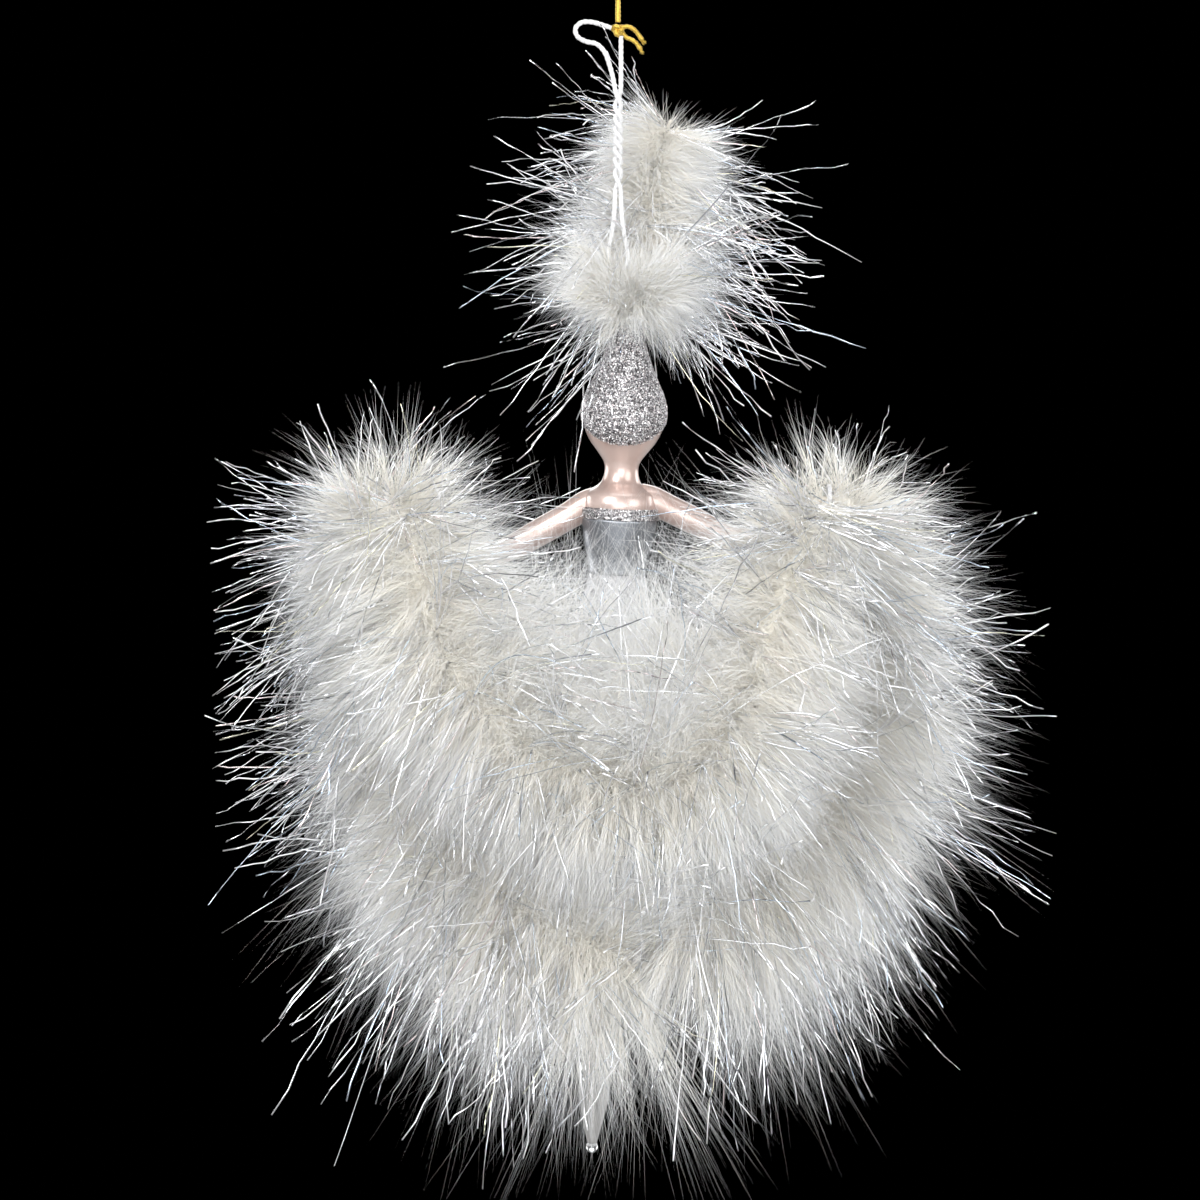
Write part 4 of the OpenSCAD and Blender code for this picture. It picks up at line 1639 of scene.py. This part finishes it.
    def fuzz(self, count: int, start: float, end: float, rng: np.random.Generator) -> Shape:
        """Grows short, nearly straight fluff that lies close to the core.

        Args:
            count: How many fibres.
            start: The share of the route where the run starts.
            end: The share where it ends.
            rng: The source of random curls.

        Returns:
            The short fibres.
        """
        share = rng.uniform(start, end, count)
        at, way, side, depth = self.route.at(share)
        phi = rng.uniform(0, 2 * math.pi, (count, 1))
        out = side * np.cos(phi) + depth * np.sin(phi)
        root = at + out * rng.uniform(self.heart_r * 0.9, self.fluff_r, (count, 1)) * MM
        lean = rng.normal(scale=0.5, size=(count, 1)) + self.fan(share)[:, None]
        across = np.sign(np.cos(phi)) * 0.5 + rng.normal(scale=0.5, size=(count, 1))
        heading = unit(out * 0.5 + way * lean + DOWN * 0.25 + side * across
                       + rng.normal(scale=0.22, size=(count, 3)))
        long = rng.uniform(*self.fluff_length, (count, 1)) * MM
        curl = rng.normal(scale=self.lock_curl, size=(count, 3))
        t = np.array(self.FLUFF_STOPS)
        lines = (root[:, None] + heading[:, None] * (long * t)[..., None]
                 + curl[:, None] * (long * t**2)[..., None])
        lines = self.room.inside(self.figure.clear_of(lines), rng)
        radii = np.array([self.FLUFF_TAPER]) * rng.uniform(0.7, 1.2, (count, 1)) * self.fibre_r * MM
        tone = rng.uniform(size=(count, 1))
        numbers = np.concatenate([
            np.where(tone < 0.25, Tint.WARM_ROOT.value, Tint.ROOT.value),
            np.where(tone < 0.6, Tint.BODY.value, Tint.ROOT.value),
        ], axis=1)
        return fibre_shape(lines, radii, numbers, rng)

    def heart(self, start: float, end: float, rng: np.random.Generator) -> Shape:
        """Packs the densest down, close round the core, into one lumpy body, in the heart tint that is
        darkened as painted shade.

        Args:
            start: The share of the route where the run starts.
            end: The share where it ends.
            rng: The source of random lumps.

        Returns:
            The closed body.
        """
        stops = max(4, int((end - start) * self.route.length / (self.heart_step * MM)))
        share = np.linspace(start, end, stops)
        at, _, side, depth = self.route.at(share)
        turn = angles(self.heart_sides)
        from_end = np.minimum(share - start, end - share) * self.route.length
        ends = np.clip(from_end / (self.heart_r_from * MM), 0.15, 1) ** 0.5
        lumps = 1 + rng.uniform(-0.12, 0.12, (len(share), self.heart_sides))
        radii = self.heart_r * MM * ends[:, None] * lumps
        rings = (at[:, None] + side[:, None] * (radii * np.cos(turn))[..., None]
                 + depth[:, None] * (radii * np.sin(turn))[..., None])
        # The heart takes the darker heart tint, which is painted shade.
        return closed_tube(self.figure.clear_of(rings), Tint.PAINTED_SHADE_HEART.value)

    def run(self, run: PileRun, tints: list[bpy.types.Material], seed: int) -> None:
        """Builds one run of down.

        Args:
            run: The run's place and counts.
            tints: The down's tints.
            seed: The seed of its random draws.
        """
        rng = np.random.default_rng(seed)
        at, aim, reach = self.roots(run.tufts, run.start, run.end, rng, self.lean)
        shapes = [self.fibres(at, aim, reach, rng), self.fuzz(run.fuzz, run.start, run.end, rng),
                  self.heart(run.start, run.end, rng)]
        hang(Shape.joined(shapes).make(run.node + "_pile", tints), run.body, "down", run.node)

    def strands(self, lurex: Sprays, tints: list[bpy.types.Material]) -> None:
        """Builds the lurex strands that stand out of the down in sprays.

        Args:
            lurex: How the sprays are laid.
            tints: The lurex's tints.
        """
        rng = np.random.default_rng(lurex.seed)
        sprays, each = lurex.sprays, lurex.each
        at, aim, reach = self.roots(sprays, 0.0, lurex.end, rng, self.spray_lean)
        aim = unit(aim + np.array(lurex.pull))
        raised = rng.uniform(size=(sprays, 1)) < self.raised_share
        aim = unit(aim * np.where(raised, [1.0, 0.3, 1.0], 1.0)
                   - np.where(raised, rng.uniform(0.15, 0.6, (sprays, 1)), 0.0) * np.array([0.0, 1.0, 0.0]))
        heading = unit(aim[:, None] + rng.normal(scale=0.2, size=(sprays, each, 3)))
        long = reach[:, None, None] + rng.uniform(*lurex.extra, (sprays, each, 1)) * MM
        long = long * rng.uniform(0.7, 1.05, (sprays, each, 1))
        curl = (rng.normal(scale=0.17, size=(sprays, 1, 3)) + rng.normal(scale=0.12, size=(sprays, each, 3))
                + DOWN * rng.uniform(0, 0.22, (sprays, each, 1)))
        t = np.linspace(0, 1, self.strand_stops)
        wobble = rng.normal(scale=0.008, size=(sprays, each, len(t), 3)) * t[:, None]
        lines = (at[:, None, None] + heading[:, :, None] * (long * t)[..., None]
                 + (curl[:, :, None] + wobble) * (long * t**2)[..., None])
        total = sprays * each
        lines = self.room.inside(self.figure.clear_of(lines.reshape(total, len(t), 3)), rng)
        width = rng.uniform(*self.strand_width, total) * MM
        turns = np.where(rng.uniform(size=total) < 0.4, 4.5, 1.3)
        twist = 2 * math.pi * rng.normal(scale=turns)
        numbers = rng.choice(6, size=total, p=self.STRAND_SHARES)
        shape = ribbon_shape(lines, width, self.strand_thickness * MM, twist, numbers, rng)
        hang(shape.make(lurex.node + "_strands", tints), lurex.body, "lurex", lurex.node)


def wound_wrap(middle: np.ndarray, way: np.ndarray, radius: float, thread: float, turns: float,
               width: float) -> Shape:
    """Winds a thread round a line in a tight coil.

    Args:
        middle: The coil's middle, in metres.
        way: The direction of its axis.
        radius: The radius to the thread's centre, in millimetres.
        thread: The thread's radius, in millimetres.
        turns: How many turns it has.
        width: How far the coil runs along its axis, in millimetres.

    Returns:
        The wound thread.
    """
    way = unit(way)
    one = unit(np.cross(way, UP if abs(way[2]) < 0.9 else np.array([0.0, 1.0, 0.0])))
    two = np.cross(way, one)
    t = np.linspace(0, 1, int(turns * 36))[:, None]
    angle = 2 * math.pi * turns * t
    path = middle + (one * np.cos(angle) + two * np.sin(angle)) * radius * MM + way * (t - 0.5) * width * MM
    return wound_tube(path, thread * MM, 10, Twist(Plies.TWO, 1.6, 0.25))


@dataclass
class Plume:
    """The down plume on the headdress, with its quill, its lurex and its tie."""

    figure: BlownFigure
    room: Room
    quill_r: float = 0.5
    quill_share: float = 0.84
    core_shift: float = 0.45
    tie_r: float = 3.9
    tie_z: float = -3.4
    tie_thread: float = 0.22
    tie_turns: float = 4.0
    break_point: int = 4
    down_end: float = 0.78
    wide: tuple[float, ...] = (14, 16.5, 17, 16, 12.5, 8.5, 6)
    deep: tuple[float, ...] = (13, 14, 14, 14, 12, 9, 6)
    middle: tuple[float, float, float] = (8, 14, -80)
    quill_twist: Twist = Twist(Plies.TWO, 9.0, 0.12)
    quill_tip_share: float = 0.55
    collar_tufts: int = 240
    collar_top: float = 3.0

    ROUTE = [
        [4.6, 6.2, -102, 2.4, 2.1], [5, 7.9, -95, 7, 3.9], [5.6, 10.5, -88, 11, 6.5],
        [6.4, 13, -80.5, 13, 8.5], [7.6, 15, -73, 13.5, 9], [9.4, 16.5, -66, 12, 8.5],
        [12, 17, -60, 9, 6.5], [14.5, 16.5, -55, 5, 4],
    ]

    def build(self, down: list[bpy.types.Material], lurex: list[bpy.types.Material]) -> None:
        """Builds every piece of the plume.

        Args:
            down: The down's tints.
            lurex: The lurex's tints.
        """
        route = Route(self.ROUTE)
        pile = Pile(route, self.wide, self.wide, self.deep, self.figure, self.room, self.middle,
                    fall=0.12, spread=0.22, front_share=0.3, start_fan=0.0, end_fan=0.4)
        middle = route.share_at(self.break_point)
        pile.run(PileRun("plume_lower", "plume", 0.0, middle), down, 61)
        pile.run(PileRun("plume_upper", "plume", middle, self.down_end), down, 62)
        pile.strands(Sprays("plume_lurex", "plume", 100, 7, (4, 23), 63, self.down_end, (0.12, 0.0, -0.02)),
                     lurex)
        self.collar(pile, down)
        cotton = YarnFinish("quill_cotton", (0.82, 0.77, 0.68), (0.6, 0.54, 0.45)).material()
        line = route.shifted(self.core_shift * MM, 0.5 * MM)
        line = line[:int(self.quill_share * len(line))]
        taper = np.linspace(1.0, self.quill_tip_share, len(line))
        quill = wound_tube(line, self.quill_r * MM * taper, 14, self.quill_twist)
        hang(quill.make("plume_quill_stem", [cotton]), "plume", "core_cotton", "plume_quill")
        silver = YarnFinish("tie_silver", (0.8, 0.8, 0.82), (0.5, 0.5, 0.53), 0.6, 0.4).material()
        axis = self.figure.turn @ UP
        neck = self.figure.placed(UP * self.tie_z)
        tie = wound_wrap(neck, axis, self.tie_r, self.tie_thread, self.tie_turns, 1.0)
        hang(tie.make("plume_tie_wrap", [silver]), "figure", "tie_thread", "plume_tie")

    def collar(self, pile: Pile, down: list[bpy.types.Material]) -> None:
        """Builds the ring of down that is tied in round the cap and hides it.

        Args:
            pile: The plume's pile, which grows its fibres.
            down: The down's tints.
        """
        rng = np.random.default_rng(64)
        count = self.collar_tufts
        turn = rng.uniform(-1.15 * math.pi, 0.15 * math.pi, count)
        ring = np.stack([np.cos(turn), np.sin(turn), np.zeros(count)], axis=1)
        height = rng.uniform(self.tie_z, self.collar_top, (count, 1))
        at = self.figure.placed(ring * self.tie_r + UP * height)
        aim = unit((ring @ self.figure.turn.T) + UP * rng.normal(0.4, 0.75, (count, 1)))
        reach = rng.uniform(7, 12, count) * (1 + 0.9 * np.maximum(aim[:, 2], 0)) * MM
        hang(pile.fibres(at, aim, reach, rng).make("plume_collar_pile", down), "figure", "down")


@dataclass
class Boa:
    """The strung boa: the swag behind the figure's back and the tails that hang from its wrists."""

    figure: BlownFigure
    room: Room
    core_d: float = 1.5
    core_shift: float = 0.45
    core_step: float = 0.45
    core_sides: int = 18
    core_twist: Twist = Twist(Plies.THREE, 4.5, 0.3)
    tie_r: float = 2.9
    tie_thread: float = 0.22
    tie_turns: float = 3.5
    tie_width: float = 0.85
    end_gap: float = 0.6
    end_tie_h: float = 2.0
    whipping_r: float = 1.6
    whipping_thread: float = 0.28
    whipping_turns: float = 5.0
    plug_sides: int = 28
    plug_girth: tuple[float, ...] = (0.9, 1.3, 1.45, 1.5, 1.5, 1.5, 1.45, 1.3, 0.9)
    first_share: float = 0.012
    last_share: float = 0.988
    middle: tuple[float, float, float] = (-2.0, 0.0, -160.0)

    BACK = [
        [-45.7, -6, -140, 3, 3], [-43, -6.5, -141.4, 3, 3], [-41.4, -8, -145.2, 4, 3.5],
        [-40.4, -10.8, -151.5, 5, 4], [-38.6, -13, -158, 8, 6.5], [-36, -15, -166, 12, 8.5],
        [-32, -16.5, -174, 14, 9], [-26.5, -17.5, -181.5, 15, 9], [-19.5, -18.5, -187.5, 15, 9],
        [-12, -19, -192, 15, 9], [-4, -19.5, -195, 15, 9], [3.5, -19.5, -196.5, 15, 9],
        [10.5, -19, -195.5, 14, 9], [17, -18.5, -191.5, 14, 9], [22, -17.5, -185, 14, 9],
        [25.8, -16.5, -177, 13, 9], [29, -15, -168.5, 12, 8.5], [32, -13, -160, 8, 6.5],
        [34.6, -10.8, -152.5, 5, 4], [36.9, -8.2, -145.8, 4, 3.5], [39, -6.5, -141.4, 3, 3],
        [41.7, -6, -140, 3, 3],
    ]
    LEFT = [
        [-46.3, -6, -140, 3, 3], [-49.2, -5.5, -141.4, 3, 3], [-51.4, -3.6, -146, 4, 3.5],
        [-52.6, -0.5, -153, 8, 5], [-52.4, 2.5, -161, 13, 8], [-51, 4.5, -170, 17, 9.5],
        [-48.5, 5.5, -179.5, 20, 10], [-45, 5.5, -188.5, 20, 10], [-40.5, 4, -197.5, 19, 10],
        [-35, 1, -206, 17, 10], [-28.5, -3, -213.5, 15, 9], [-21, -7, -220, 14, 9],
        [-12.5, -10.5, -225, 13, 9], [-4.5, -13, -228.5, 10, 8], [2.5, -14.5, -230.5, 6, 5],
    ]
    RIGHT = [
        [42.3, -6, -140, 3, 3], [45, -5.5, -141.4, 3, 3], [46.9, -3.6, -146, 4, 3.5],
        [48.2, -0.5, -153, 9, 5], [49.2, 2.5, -161, 15, 8], [49.6, 4.5, -170, 21, 9.5],
        [49.6, 5.5, -179.5, 25, 10], [48, 5.5, -188.5, 25, 10], [44.5, 4, -197.5, 22, 10],
        [39.5, 1, -205.5, 18, 10], [33, -3, -212, 14, 9], [26, -7, -216.5, 11, 9],
        [18.5, -10, -219.5, 8, 7], [12, -12, -220.5, 5, 5],
    ]
    # The points of each route where one run of down ends and the next starts
    BREAKS = {
        "back": (3, 5, 8, 11, 13, 15, 18),
        "left": (3, 5, 7, 9, 11, 14),
        "right": (3, 5, 7, 9, 11, 13),
    }
    BACK_OUTER = (18, 22, 25, 26, 27, 27, 27, 27, 27, 26, 25, 22, 18)
    BACK_INNER = (18, 22, 27, 36, 44, 48, 49, 48, 43, 35, 27, 22, 18)
    BACK_DEEP = (9, 10, 10, 10, 10, 10, 10, 10, 10, 10, 10, 10, 9)
    LEFT_OUTER = (16, 15, 14, 14, 15, 19, 24, 28, 30, 31, 33, 35, 37)
    RIGHT_OUTER = (18, 21, 22, 23, 23, 24, 26, 27, 28, 29, 31, 34, 37)
    TAIL_INNER = (18, 22, 24, 26, 26, 26, 26, 26, 26, 26, 26, 26, 26)
    TAIL_DEEP = (10, 11, 12, 12, 12, 12, 12, 12, 12, 12, 12, 12, 11)

    def build(self, down: list[bpy.types.Material], lurex: list[bpy.types.Material]) -> None:
        """Builds every piece of the boa, cords first.

        Args:
            down: The down's tints.
            lurex: The lurex's tints.
        """
        cotton = YarnFinish("core_cotton", (0.85, 0.79, 0.7), (0.6, 0.52, 0.42)).material()
        back, left, right = Route(self.BACK), Route(self.LEFT), Route(self.RIGHT)
        self.core("core_back", "boa_back", back, cotton)
        self.core("core_left", "boa_left", left, cotton)
        self.core("core_right", "boa_right", right, cotton)
        self.ties(left, right)
        around = (self.figure, self.room, self.middle)
        swag = Pile(back, self.BACK_OUTER, self.BACK_INNER, self.BACK_DEEP, *around)
        tail_left = Pile(left, self.LEFT_OUTER, self.TAIL_INNER, self.TAIL_DEEP, *around)
        tail_right = Pile(right, self.RIGHT_OUTER, self.TAIL_INNER, self.TAIL_DEEP, *around)
        for number, (side, pile) in enumerate((("back", swag), ("left", tail_left), ("right", tail_right))):
            breaks = [pile.route.share_at(point) for point in self.BREAKS[side]]
            breaks[0] = self.first_share
            breaks[-1] = self.last_share if side == "back" else 1.0
            for part, (start, end) in enumerate(zip(breaks[:-1], breaks[1:]), start=1):
                run = PileRun(f"down_{side}_{part}", "boa_" + side, start, end)
                pile.run(run, down, 100 * number + part)
        swag.strands(Sprays("lurex_back", "boa_back", 205, 6, (0, 8), 71), lurex)
        tail_left.strands(Sprays("lurex_left", "boa_left", 205, 7, (6, 21), 72), lurex)
        tail_right.strands(Sprays("lurex_right", "boa_right", 190, 7, (4, 16), 73), lurex)

    def core(self, node: str, body: str, route: Route, cotton: bpy.types.Material) -> None:
        """Builds one stretch of the strung core.

        Args:
            node: The CAD node that it stands for.
            body: The body that it rides on.
            route: The stretch's route.
            cotton: Its finish.
        """
        line = route.shifted(self.core_shift * MM, self.core_step * MM)
        cord = wound_tube(line, self.core_d / 2 * MM, self.core_sides, self.core_twist)
        cord = cord.make(node + "_cord", [cotton])
        hang(cord, body, "core_cotton", node)

    def ties(self, left: Route, right: Route) -> None:
        """Builds the wrist ties and the whippings on the boa's ends.

        Args:
            left: The left tail's route.
            right: The right tail's route.
        """
        silver = YarnFinish("wrist_tie_silver", (0.8, 0.8, 0.82), (0.5, 0.5, 0.53), 0.6, 0.4).material()
        for side in ("left", "right"):
            low, high = (np.array(c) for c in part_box("wrist_tie_" + side))
            wrap = wound_wrap((low + high) / 2, np.array([1.0, 0, 0]), self.tie_r, self.tie_thread,
                              self.tie_turns, self.tie_width)
            hang(wrap.make(f"wrist_tie_{side}_wrap", [silver]), "figure", "tie_thread", "wrist_tie_" + side)
        for side, route in (("left", left), ("right", right)):
            way = route.way[-1]
            foot = route.line[-1, :3] + way * (self.end_gap + self.end_tie_h / 2) * MM
            coil = wound_wrap(foot, way, self.whipping_r, self.whipping_thread, self.whipping_turns,
                              self.end_tie_h - 0.6)
            girth = np.array(self.plug_girth)[:, None, None] * MM
            plug_z = np.linspace(-1, 1, len(girth))[:, None, None] * (self.end_tie_h / 2) * MM
            turn = angles(self.plug_sides)[:, None]
            one = unit(np.cross(way, UP))
            two = np.cross(way, one)
            ring = one * np.cos(turn) + two * np.sin(turn)
            plug = closed_tube(foot + way * plug_z + ring[None] * girth)
            end = Shape.joined([coil, plug]).make(f"end_whipping_{side}", [silver])
            hang(end, "boa_" + side, "tie_thread", "end_tie_" + side)


def main() -> None:
    """Builds the studio and the ornament."""
    logging.basicConfig(level=logging.INFO, format="%(name)s: %(message)s")
    Studio().build()
    HangingGear().build()
    figure = BlownFigure()
    figure.build()
    down, lurex = down_tints(), lurex_tints()
    room = Room()
    Boa(figure, room).build(down, lurex)
    Plume(figure, room).build(down, lurex)


if __name__ == "__main__":
    main()
